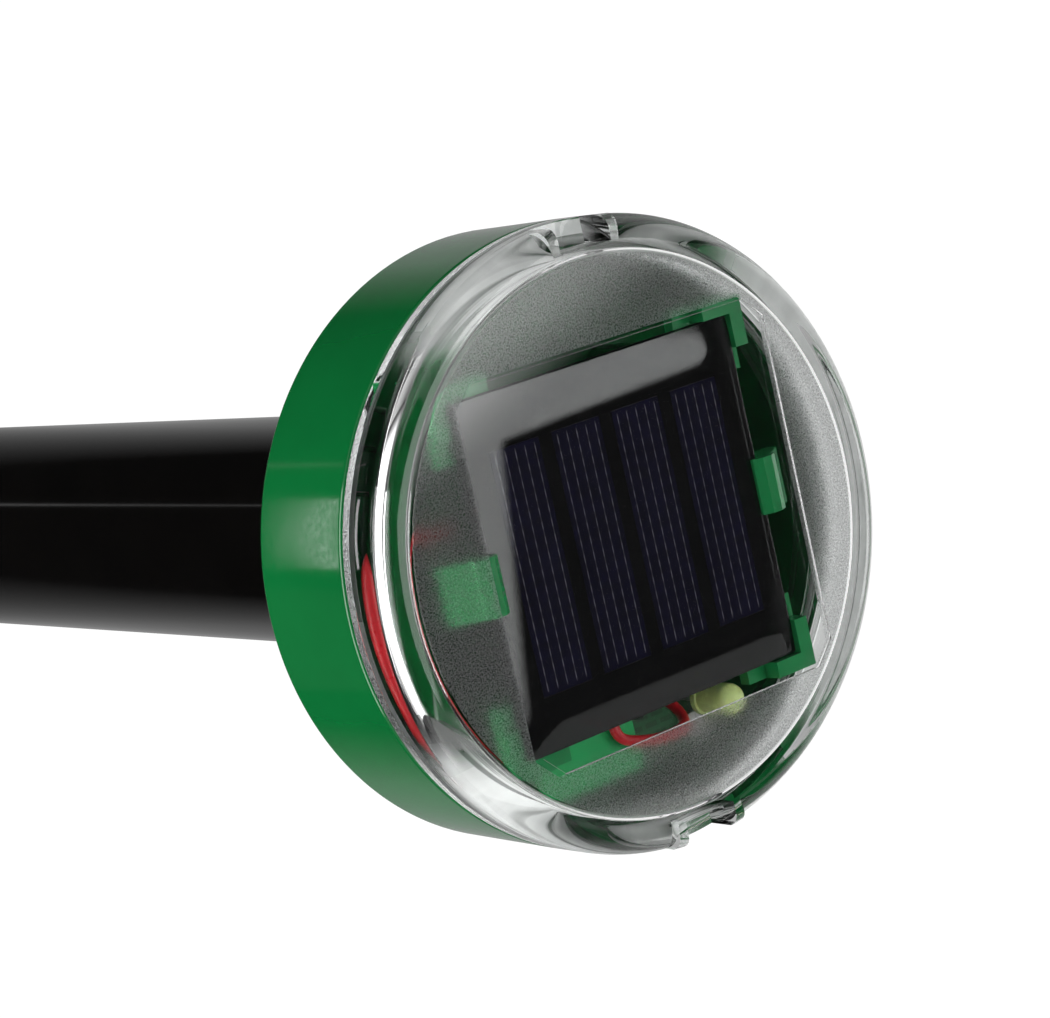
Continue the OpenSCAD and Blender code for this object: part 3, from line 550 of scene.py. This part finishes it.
def silicon_cell(name, colour):
    """Dark silicon with a faint crystal mottling."""
    material, tree, shader = blank_material(name)
    crystal = pattern(tree, "Voronoi", {"Scale": 420.0}, "Distance")
    plug(tree, shader, {
        "Base Color": tint(tree, crystal, colour, 0.75, 1.3, 0.0, 0.8),
        "Roughness": spread(tree, crystal, 0.3, 0.45, 0.0, 0.8),
        "Specular IOR Level": 0.06,
    })
    return material


def silver_line(name):
    """Printed silver line whose brightness breaks up along its length."""
    material, tree, shader = blank_material(name)
    beat = pattern(tree, "Wave", {"Scale": 135.0, "Distortion": 1.5, "Detail": 2.0},
                   wave_type="BANDS", bands_direction="Y")
    plug(tree, shader, {
        "Base Color": tint(tree, beat, (0.24, 0.23, 0.29), 0.4, 1.0),
        "Roughness": spread(tree, beat, 0.35, 0.55),
        "Specular IOR Level": 0.1,
    })
    return material


def lamp_resin(name, colour):
    """Tinted lamp body that scatters light."""
    material, tree, shader = blank_material(name)
    haze = grain(tree, 700.0, 3.0)
    plug(tree, shader, {
        "Base Color": tint(tree, haze, colour, 0.9, 1.1),
        "Roughness": spread(tree, haze, 0.18, 0.3),
        "Subsurface Weight": 0.35,
        "Subsurface Radius": (0.6, 0.8, 0.2),
        "Subsurface Scale": 2.0 * MM,
    })
    return material


def milky_silicone(name):
    """Soft translucent silicone."""
    material, tree, shader = blank_material(name)
    haze = grain(tree, 500.0, 3.0)
    plug(tree, shader, {
        "Base Color": tint(tree, haze, (0.86, 0.87, 0.86), 0.94, 1.02),
        "Roughness": spread(tree, haze, 0.35, 0.5),
        "Transmission Weight": 0.8,
        "IOR": SILICONE_IOR,
    })
    return material


def wound_copper(name):
    """Enamelled wire wound in fine turns."""
    material, tree, shader = blank_material(name)
    turns = pattern(tree, "Wave", {"Scale": 900.0, "Distortion": 0.3}, wave_type="BANDS", bands_direction="Z")
    plug(tree, shader, {
        "Base Color": tint(tree, turns, (0.42, 0.15, 0.05), 0.45, 1.0),
        "Roughness": spread(tree, turns, 0.25, 0.4),
        "Normal": relief(tree, turns, 0.8, 0.0001),
    })
    return material


def solder_mask(name):
    """Green circuit board with tracks that show through the mask."""
    material, tree, shader = blank_material(name)
    tracks = add_node(tree, "ShaderNodeTexBrick", {
        "Vector": own_place(tree),
        "Scale": 160.0,
        "Mortar Size": 0.06,
        "Color1": (0.010, 0.085, 0.028, 1.0),
        "Color2": (0.011, 0.095, 0.03, 1.0),
        "Mortar": (0.015, 0.12, 0.04, 1.0),
    })
    fine = grain(tree, 1500.0, 3.0)
    plug(tree, shader, {
        "Base Color": tracks.outputs["Color"],
        "Roughness": spread(tree, fine, 0.3, 0.45),
        "Normal": relief(tree, tracks.outputs["Fac"], 0.4, 0.00003),
    })
    return material


def wear(material, *names):
    """Give CAD nodes a finish."""
    for name in names:
        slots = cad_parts[name].data.materials
        slots.clear()
        slots.append(material)


# Operators, one for each group of pieces

class REPELLER_OT_head(Operator):
    """Finish the green housing and the collar round the stake"""
    bl_idname = "repeller.head"
    bl_label = "Head"

    def execute(self, context):
        green = moulded_plastic("housing_green", context.scene.repeller_colours.housing, 0.1)
        wear(green, "head_housing", "stake_collar")
        return {"FINISHED"}


class REPELLER_OT_stake(Operator):
    """Finish the black tube, the spike and the gasket"""
    bl_idname = "repeller.stake"
    bl_label = "Stake"

    def execute(self, context):
        black = moulded_plastic("stake_black", context.scene.repeller_colours.stake, 0.09, 0.00001, 0.25)
        wear(black, "stake_tube", "ground_spike")
        wear(matt_finish("gasket_rubber", (0.02, 0.02, 0.02), 0.75), "neck_gasket")
        return {"FINISHED"}


class REPELLER_OT_cover(Operator):
    """Make the clear cover with its frosted face, window, notches, ribs and lugs"""
    bl_idname = "repeller.cover"
    bl_label = "Clear cover"

    def execute(self, context):
        size = context.scene.repeller_cover
        low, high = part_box("clear_cover")
        mesh = self.shell(size, low.z, high.x, high.z)
        for turn in map(math.radians, NOTCH_TURNS):
            for bm in self.added(size, low.z, high.x, high.z, turn):
                mesh = combine(mesh, bm, "UNION")
            mesh = combine(mesh, self.notch(size, high.x, high.z, turn), "DIFFERENCE")
        mesh.name = "clear_cover_shell"
        mesh.set_sharp_from_angle(angle=math.radians(COVER_SHARP))
        for face in mesh.polygons:
            face.use_smooth = abs(face.normal.z) < UPRIGHT
        make_piece("clear_cover_shell", mesh, "cover", "clear_plastic", "clear_cover")
        wear(milky_silicone("seal_silicone"), "cover_seal")
        return {"FINISHED"}

    def shell(self, size, low, radius, top):
        """Turned shell with the window let into its face."""
        angles = [2 * math.pi * i / size.segments - math.pi for i in range(size.segments)]
        r = size.rim_rounding
        e = size.edge_break
        f = size.inside_fillet
        rim = low + size.rim_lift
        skirt_out = radius - size.skirt_gap
        skirt_in = skirt_out - size.skirt
        under = top - size.face
        groove = skirt_out - size.groove_depth
        groove_low = low + size.groove_low
        groove_high = groove_low + size.groove_height
        etch_low = low + size.etch_low
        outside = arc_points((radius - r, top - r), r, 90.0, 0.0, RIM_STEPS)
        outside += arc_points((radius - e, rim + e), e, 0.0, -90.0, EDGE_STEPS)
        outside += [(skirt_out, rim), (skirt_out, groove_high), (groove, groove_high), (groove, groove_low),
                    (skirt_out, groove_low), (skirt_out, low), (skirt_in, low), (skirt_in, etch_low),
                    (skirt_in, etch_low + size.etch_height)]
        inside = arc_points((skirt_in - f, under - f), f, 0.0, 90.0, FILLET_STEPS)
        bm = bmesh.new()
        rings = [circle(bm, pr, pz, angles) for pr, pz in outside + inside]
        etched = {outside.index((skirt_out, rim)): EDGE, len(outside) - 1: SKIRT, len(outside): WALL}
        for i, (first, second) in enumerate(zip(rings, rings[1:]), 1):
            close_strip(bm, first, second, etched.get(i, CLEAR))
        squares = (
            (size.window_shift, size.window, top),
            (size.window_shift, size.window - 2 * size.window_slope, top - size.window_step),
            (size.window_shift - size.clear_past / 2, size.window + size.clear_past, under),
        )
        wide, deep, inner = ([bm.verts.new(p) for p in cut_corner_square(shift, width, size.window_cut, z)]
                             for shift, width, z in squares)
        close_strip(bm, wide, deep, CLEAR)
        bm.faces.new(deep)
        bm.faces.new(inner).material_index = WINDOW
        fill_between(bm, rings[0], wide, CLEAR)
        fill_between(bm, rings[-1], inner, FROST)
        mesh = finish_mesh(bm, "cover_work", COVER_SHARP)
        for material in (
            polished_clear("cover_clear", COVER_TONE, PLASTIC_IOR, COVER_WAVINESS, CLEAR_SHARE),
            frosted_clear("cover_frost"),
            etched_clear("cover_edge", EDGE_ETCHING),
            etched_clear("cover_skirt", SKIRT_ETCHING),
            etched_clear("cover_wall", WALL_ETCHING),
            polished_clear("cover_window", COVER_TONE, PLASTIC_IOR, COVER_WAVINESS, WINDOW_SHARE),
        ):
            mesh.materials.append(material)
        return mesh

    def added(self, size, low, radius, top, turn):
        """Ribs beside a notch and the lug under it."""
        half = size.notch_width / 2
        foot = low + size.rim_lift + size.rib_lift
        r = size.rib_rounding
        inside = radius - size.notch_reach
        crest = [(inside, foot), (radius, foot)]
        crest += arc_points((radius - r, top - r), r, 0.0, 90.0, CREST_STEPS) + [(inside, top)]
        start, end = math.asin(half / radius), math.asin((half + size.rib_width) / radius)
        skirt_out = radius - size.skirt_gap
        lug_low = low + size.lug_low
        lug_high = lug_low + size.lug_height
        root, tip = skirt_out - size.lug_low, skirt_out + size.lug_out
        lug = [(root, lug_low), (tip, lug_low), (tip, lug_high), (root, lug_high)]
        return [wedge(crest, turn + start, turn + end, RIB_STEPS),
                wedge(crest, turn - end, turn - start, RIB_STEPS),
                wedge(lug, turn - size.lug_angle / 2, turn + size.lug_angle / 2, LUG_STEPS)]

    def notch(self, size, radius, top, turn):
        """Block that cuts one grip notch."""
        low = Vector((radius - size.notch_reach, -size.notch_width / 2, top - size.notch_drop))
        high = Vector((radius + size.notch_reach, size.notch_width / 2, top + size.notch_drop))
        return block(low, high, turn)


class REPELLER_OT_panel(Operator):
    """Make the solar panel's clear layer and silver lines, and finish its board and cells"""
    bl_idname = "repeller.panel"
    bl_label = "Solar panel"

    def execute(self, context):
        size = context.scene.repeller_panel
        colours = context.scene.repeller_colours
        low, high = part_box("panel_resin")
        layer = self.clear_layer(size, low, high)
        resin = polished_clear("panel_resin_clear", (0.96, 0.96, 0.97), RESIN_IOR, 0.00002, RESIN_SHARE)
        layer.materials.append(resin)
        make_piece("panel_clear_layer", layer, "head", "panel_clear", "panel_resin")
        lines = self.silver_lines(size)
        lines.materials.append(silver_line("cell_silver"))
        make_piece("cell_lines", lines, "head", "steel")
        wear(moulded_plastic("panel_black", colours.board, 0.4, 0.00002, 0.2, 0.04), "panel_board")
        wear(silicon_cell("cell_silicon", colours.cell), "solar_cells")
        return {"FINISHED"}

    def clear_layer(self, size, low, high):
        """Clear layer that is flat over the cells and falls away round its margin."""
        bm = bmesh.new()
        bend = (size.margin ** 2 + size.fall ** 2) / (2 * size.fall)
        half = (high.x - low.x) / 2
        flat = half - size.margin
        count = size.grid
        rows = []
        for i in range(count + 1):
            row = []
            for j in range(count + 1):
                x = half * (2 * i / count - 1)
                y = half * (2 * j / count - 1)
                past = [max(abs(c) - flat, 0.0) ** CORNER_POWER for c in (x, y)]
                out = sum(past) ** (1 / CORNER_POWER)
                row.append(bm.verts.new((x, y, high.z - bend + math.sqrt(bend ** 2 - out ** 2))))
            rows.append(row)
        for i in range(count):
            for j in range(count):
                bm.faces.new((rows[i][j], rows[i + 1][j], rows[i + 1][j + 1], rows[i][j + 1]))
        border = [rows[i][0] for i in range(count)] + [rows[count][j] for j in range(count)]
        border += [rows[count - i][count] for i in range(count)] + [rows[0][count - j] for j in range(count)]
        foot = [bm.verts.new((v.co.x, v.co.y, low.z - size.sink)) for v in border]
        close_strip(bm, border, foot, 0)
        bm.faces.new(foot)
        return finish_mesh(bm, "panel_clear_layer", SHARP)

    def silver_lines(self, size):
        """Fine printed lines along each cell."""
        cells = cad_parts["solar_cells"].data
        low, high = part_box("solar_cells")
        lefts = sorted({round(v.co.x, 6) for v in cells.vertices})
        bm = bmesh.new()
        for left, right in zip(lefts[0::2], lefts[1::2]):
            for k in range(size.lines):
                x = left + (right - left) * (k + 0.5) / size.lines
                corner = Vector((x - size.line_width / 2, low.y + size.line_inset, high.z - size.line_height))
                other = Vector((x + size.line_width / 2, high.y - size.line_inset, high.z + size.line_height))
                part = block(corner, other, 0.0)
                bmesh.ops.bevel(part, geom=part.edges, offset=size.line_height * LINE_BEVEL, segments=1,
                                affect="EDGES")
                strip = bpy.data.meshes.new("strip")
                part.to_mesh(strip)
                part.free()
                bm.from_mesh(strip)
                bpy.data.meshes.remove(strip)
        return finish_mesh(bm, "cell_lines", SHARP)


class REPELLER_OT_carrier(Operator):
    """Finish the carrier that holds the panel, with painted light on its tongue, and its screws"""
    bl_idname = "repeller.carrier"
    bl_label = "Panel carrier"

    def execute(self, context):
        green = moulded_plastic("carrier_green", context.scene.repeller_colours.carrier, 0.2)
        # Painted light: the carrier's colour is lighter in its lowest part, the tongue
        self.paint_light_below(green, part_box("panel_carrier")[0].z + TONGUE_HEIGHT, TONGUE_PAINTED_LIGHT)
        wear(green, "panel_carrier")
        wear(plated_metal("screw_zinc", (0.6, 0.6, 0.58), 0.3), "carrier_screws", "board_screws")
        return {"FINISHED"}

    def paint_light_below(self, material, height, gain):
        """Painted light: make the carrier's colour lighter below a height, on the thin tongue under the frame, to
        stand in for light shining through it.
        """
        tree = material.node_tree
        base = tree.nodes["Principled BSDF"].inputs["Base Color"]
        level = axes(tree, own_place(tree))["Z"]
        scale = spread(tree, level, gain, 1.0, height - TONGUE_FADE, height + TONGUE_FADE)
        # Painted light: the base colour is scaled up below the height
        light = vector_maths(tree, "SCALE", {"Vector": base.links[0].from_socket, "Scale": scale})
        tree.links.new(light, base)


class REPELLER_OT_wires(Operator):
    """Make the round insulated wires"""
    bl_idname = "repeller.wires"
    bl_label = "Wires"

    def execute(self, context):
        swell = context.scene.repeller_wires.swell
        red = moulded_plastic("wire_red", context.scene.repeller_colours.wire, 0.3, 0.00002, 0.12)
        black = moulded_plastic("wire_black", (0.012, 0.012, 0.012), 0.3, 0.00002, 0.2)
        for lead in ("panel_lead", "battery_lead", "sounder_lead"):
            self.round_wire(lead + "_red", "wire_red", red, swell)
            self.round_wire(lead + "_black", "wire_black", black, swell)
        return {"FINISHED"}

    def round_wire(self, node, slot, material, swell):
        """Round wire along a CAD wire with flat sides."""
        bm = bmesh.new()
        bm.from_mesh(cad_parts[node].data)
        bmesh.ops.remove_doubles(bm, verts=bm.verts, dist=WELD)
        bmesh.ops.join_triangles(bm, faces=bm.faces, angle_face_threshold=1.0, angle_shape_threshold=1.5)
        bm.normal_update()
        for vert in bm.verts:
            vert.co += vert.normal * swell
        mesh = finish_mesh(bm, node + "_round", ALL_SMOOTH)
        mesh.materials.append(material)
        piece = make_piece(node + "_round", mesh, "head", slot, node)
        smooth = piece.modifiers.new("round", "SUBSURF")
        smooth.levels = WIRE_LEVELS
        smooth.render_levels = WIRE_LEVELS


class REPELLER_OT_circuit(Operator):
    """Finish the circuit board and what it carries"""
    bl_idname = "repeller.circuit"
    bl_label = "Circuit board"

    def execute(self, context):
        wear(solder_mask("board_green"), "circuit_board")
        wear(matt_finish("chip_moulding", (0.02, 0.02, 0.022), 0.55), "controller_chip", "switch_body")
        wear(moulded_plastic("capacitor_sleeve", (0.02, 0.035, 0.16), 0.25), "filter_capacitor")
        wear(wound_copper("coil_copper"), "boost_coil")
        wear(lamp_resin("lamp_green", context.scene.repeller_colours.lamp), "status_led")
        wear(plated_metal("leg_tin", (0.7, 0.7, 0.68), 0.35), "led_legs")
        return {"FINISHED"}


class REPELLER_OT_button(Operator):
    """Finish the power button and its plunger"""
    bl_idname = "repeller.button"
    bl_label = "Power button"

    def execute(self, context):
        wear(matt_finish("button_rubber", (0.012, 0.012, 0.012), 0.6), "power_button")
        wear(moulded_plastic("plunger_white", (0.7, 0.7, 0.66), 0.3), "switch_plunger")
        return {"FINISHED"}


class REPELLER_OT_battery(Operator):
    """Finish the battery and its contacts"""
    bl_idname = "repeller.battery"
    bl_label = "Battery"

    def execute(self, context):
        wear(moulded_plastic("battery_wrap", (0.03, 0.26, 0.09), 0.25, 0.00003, 0.1), "battery_cell")
        wear(plated_metal("contact_nickel", (0.66, 0.64, 0.58), 0.28), "battery_plate", "battery_leaf")
        return {"FINISHED"}


class REPELLER_OT_sounder(Operator):
    """Finish the sounder in the foot of the stake"""
    bl_idname = "repeller.sounder"
    bl_label = "Sounder"

    def execute(self, context):
        wear(matt_finish("sounder_moulding", (0.018, 0.018, 0.02), 0.5), "sounder_case")
        wear(plated_metal("disc_brass", (0.75, 0.52, 0.2), 0.22), "sounder_disc")
        wear(matt_finish("ceramic_silver", (0.62, 0.61, 0.58), 0.5), "sounder_ceramic")
        return {"FINISHED"}


class REPELLER_OT_stage(Operator):
    """Set the floor, the softboxes, the room light and the camera"""
    bl_idname = "repeller.stage"
    bl_label = "Stage"

    def execute(self, context):
        setup = context.scene.repeller_stage
        self.floor(context.scene.repeller_colours.floor)
        self.room(context.scene, setup.room)
        for name, place, facing, turn, size, setting, soft in SOFTBOXES:
            self.softbox(name, place, facing, turn, size, getattr(setup, setting), soft)
        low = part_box("ground_spike")[0].z + CARD_LIFT
        for name, place, turn, size, strength in CARDS:
            self.card(name, (*place, low), turn, size, strength)
        self.lamp("side_light", place=(-0.7, -0.05, -0.06), target=(0.0, 0.0, 0.02), width=0.9, height=0.3,
                  power=setup.fill)
        self.camera(context.scene, setup)
        context.scene.view_settings.view_transform = "Standard"
        return {"FINISHED"}

    def floor(self, colour):
        """Pale floor at the spike's point, which shows white to the eye, keeps the shadow and fades in gloss."""
        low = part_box("ground_spike")[0].z
        bm = bmesh.new()
        bmesh.ops.create_grid(bm, x_segments=1, y_segments=1, size=FLOOR_REACH)
        bmesh.ops.translate(bm, verts=bm.verts, vec=(0.0, 0.0, low))
        mesh = finish_mesh(bm, "floor", SHARP)
        material, tree, shader = blank_material("studio_floor")
        plug(tree, shader, {"Base Color": (*colour, 1.0), "Roughness": 1.0, "Specular IOR Level": 0.0})
        path = add_node(tree, "ShaderNodeLightPath").outputs
        bright = add_node(tree, "ShaderNodeEmission", {"Color": WHITE, "Strength": FLOOR_GLOW})
        seen = maths(tree, "MAXIMUM", path["Is Camera Ray"], path["Is Transmission Ray"])
        share = maths(tree, "MULTIPLY", seen, FLOOR_SHARE)
        white = mix_shaders(tree, share, shader.outputs["BSDF"], bright.outputs["Emission"])
        place = axes(tree, add_node(tree, "ShaderNodeNewGeometry").outputs["Position"])
        across = maths(tree, "ADD", place["X"], maths(tree, "MULTIPLY", place["Y"], FADE_SLANT))
        ramp = add_node(tree, "ShaderNodeValToRGB", {"Fac": spread(tree, across, 0.0, 1.0, *FADE_ENDS)})
        stops = ramp.color_ramp.elements
        for step, level in FADE_STEPS:
            stops.new(step).color = (level, level, level, 1.0)
        stops[0].color = (FADE_DARK, FADE_DARK, FADE_DARK, 1.0)
        mirror = add_node(tree, "ShaderNodeEmission", {"Color": ramp.outputs["Color"]})
        show(tree, mix_shaders(tree, path["Is Glossy Ray"], white, mirror.outputs["Emission"]))
        mesh.materials.append(material)
        item = bpy.data.objects.new("floor", mesh)
        bpy.context.scene.collection.objects.link(item)

    def room(self, scene, strength):
        """Room with an even light, white low surroundings and a dark ceiling."""
        world = bpy.data.worlds.new("room")
        world.use_nodes = True
        tree = world.node_tree
        path = add_node(tree, "ShaderNodeLightPath").outputs
        height = axes(tree, add_node(tree, "ShaderNodeTexCoord").outputs["Generated"])["Z"]
        around = spread(tree, height, 1.0, CEILING, *CEILING_ENDS, "SMOOTHSTEP")
        seen = maths(tree, "MAXIMUM", path["Is Glossy Ray"], path["Is Transmission Ray"])
        inside = add_node(tree, "ShaderNodeMix", {"Factor": seen, "A": strength, "B": around}, data_type="FLOAT")
        eye = maths(tree, "MAXIMUM", path["Is Camera Ray"], inside.outputs["Result"])
        plug(tree, tree.nodes["Background"], {"Color": WHITE, "Strength": eye})
        scene.world = world

    def softbox(self, name, place, facing, turn, size, strength, soft):
        """Glowing panel with soft edges, unseen by the camera."""
        bm = bmesh.new()
        bmesh.ops.create_grid(bm, x_segments=1, y_segments=1, size=0.5)
        mesh = bpy.data.meshes.new(name)
        bm.to_mesh(mesh)
        bm.free()
        material, tree, shader = blank_material(name)
        tree.nodes.remove(shader)
        level = strength
        for part, span in zip(axes(tree, own_place(tree)), size):
            edge = spread(tree, maths(tree, "ABSOLUTE", part), 0.0, 1.0, 0.5, 0.5 - soft / span, "SMOOTHSTEP")
            level = maths(tree, "MULTIPLY", edge, level)
        show(tree, add_node(tree, "ShaderNodeEmission", {"Strength": level}).outputs["Emission"])
        mesh.materials.append(material)
        panel = bpy.data.objects.new(name, mesh)
        bpy.context.scene.collection.objects.link(panel)
        aim = Vector(facing).to_track_quat("-Z", "Y").to_matrix().to_4x4()
        panel.matrix_world = (Matrix.Translation(place) @ aim @ Matrix.Rotation(math.radians(turn), 4, "Z")
                              @ Matrix.Diagonal((*size, 1.0, 1.0)))
        panel.visible_camera = False
        return panel

    def card(self, name, place, turn, size, strength):
        """White card on the floor that only shows in gloss."""
        card = self.softbox(name, place, DOWN, turn, size, strength, CARD_EDGE)
        card.visible_diffuse = False
        card.visible_transmission = False
        card.visible_shadow = False

    def lamp(self, name, place, target, width, height, power):
        """Rectangular lamp aimed at a point."""
        light = bpy.data.lights.new(name, "AREA")
        light.shape = "RECTANGLE"
        light.size = width
        light.size_y = height
        light.energy = power
        item = bpy.data.objects.new(name, light)
        bpy.context.scene.collection.objects.link(item)
        aim = (Vector(target) - Vector(place)).to_track_quat("-Z", "Y").to_matrix().to_4x4()
        item.matrix_world = Matrix.Translation(place) @ aim
        item.visible_camera = False

    def camera(self, scene, setup):
        """Camera at the photograph's angle."""
        data = bpy.data.cameras.new("camera")
        data.lens = setup.lens
        data.sensor_fit = "HORIZONTAL"
        data.sensor_width = SENSOR_WIDTH
        data.clip_start = 0.01
        back = -Vector(setup.camera_ahead).normalized()
        right = Vector(setup.camera_up).cross(back).normalized()
        up = back.cross(right)
        turn = Matrix((right, up, back)).transposed().to_4x4()
        item = bpy.data.objects.new("camera", data)
        scene.collection.objects.link(item)
        item.matrix_world = Matrix.Translation(setup.camera_at) @ turn
        scene.camera = item


class REPELLER_PT_sidebar(Panel):
    """Lists the repeller's operators and its main values"""
    bl_idname = "REPELLER_PT_sidebar"
    bl_label = "Solar Stake Repeller"
    bl_space_type = "VIEW_3D"
    bl_region_type = "UI"
    bl_category = "Repeller"

    def draw(self, context):
        column = self.layout.column()
        for made in OPERATORS:
            column.operator(made.bl_idname)
        for group in GROUPS:
            values = getattr(context.scene, group)
            box = self.layout.box()
            for name in values.__annotations__:
                box.prop(values, name)


OPERATORS = (
    REPELLER_OT_head, REPELLER_OT_stake, REPELLER_OT_cover, REPELLER_OT_panel, REPELLER_OT_carrier,
    REPELLER_OT_wires, REPELLER_OT_circuit, REPELLER_OT_button, REPELLER_OT_battery, REPELLER_OT_sounder,
    REPELLER_OT_stage,
)
GROUPS = {
    "repeller_cover": CoverSizes,
    "repeller_panel": PanelSizes,
    "repeller_wires": WireSizes,
    "repeller_colours": FinishColours,
    "repeller_stage": StageSetup,
}


def register():
    """Register the property groups, the operators and the panel."""
    for name, group in GROUPS.items():
        bpy.utils.register_class(group)
        setattr(bpy.types.Scene, name, PointerProperty(type=group))
    for item in (*OPERATORS, REPELLER_PT_sidebar):
        bpy.utils.register_class(item)


def unregister():
    """Undo register."""
    for item in (REPELLER_PT_sidebar, *reversed(OPERATORS)):
        bpy.utils.unregister_class(item)
    for name, group in reversed(GROUPS.items()):
        delattr(bpy.types.Scene, name)
        bpy.utils.unregister_class(group)


def main():
    """Dress the part and set the stage."""
    register()
    for made in OPERATORS:
        area, name = made.bl_idname.split(".")
        getattr(getattr(bpy.ops, area), name)()
    bpy.context.view_layer.update()


if __name__ == "__main__":
    main()
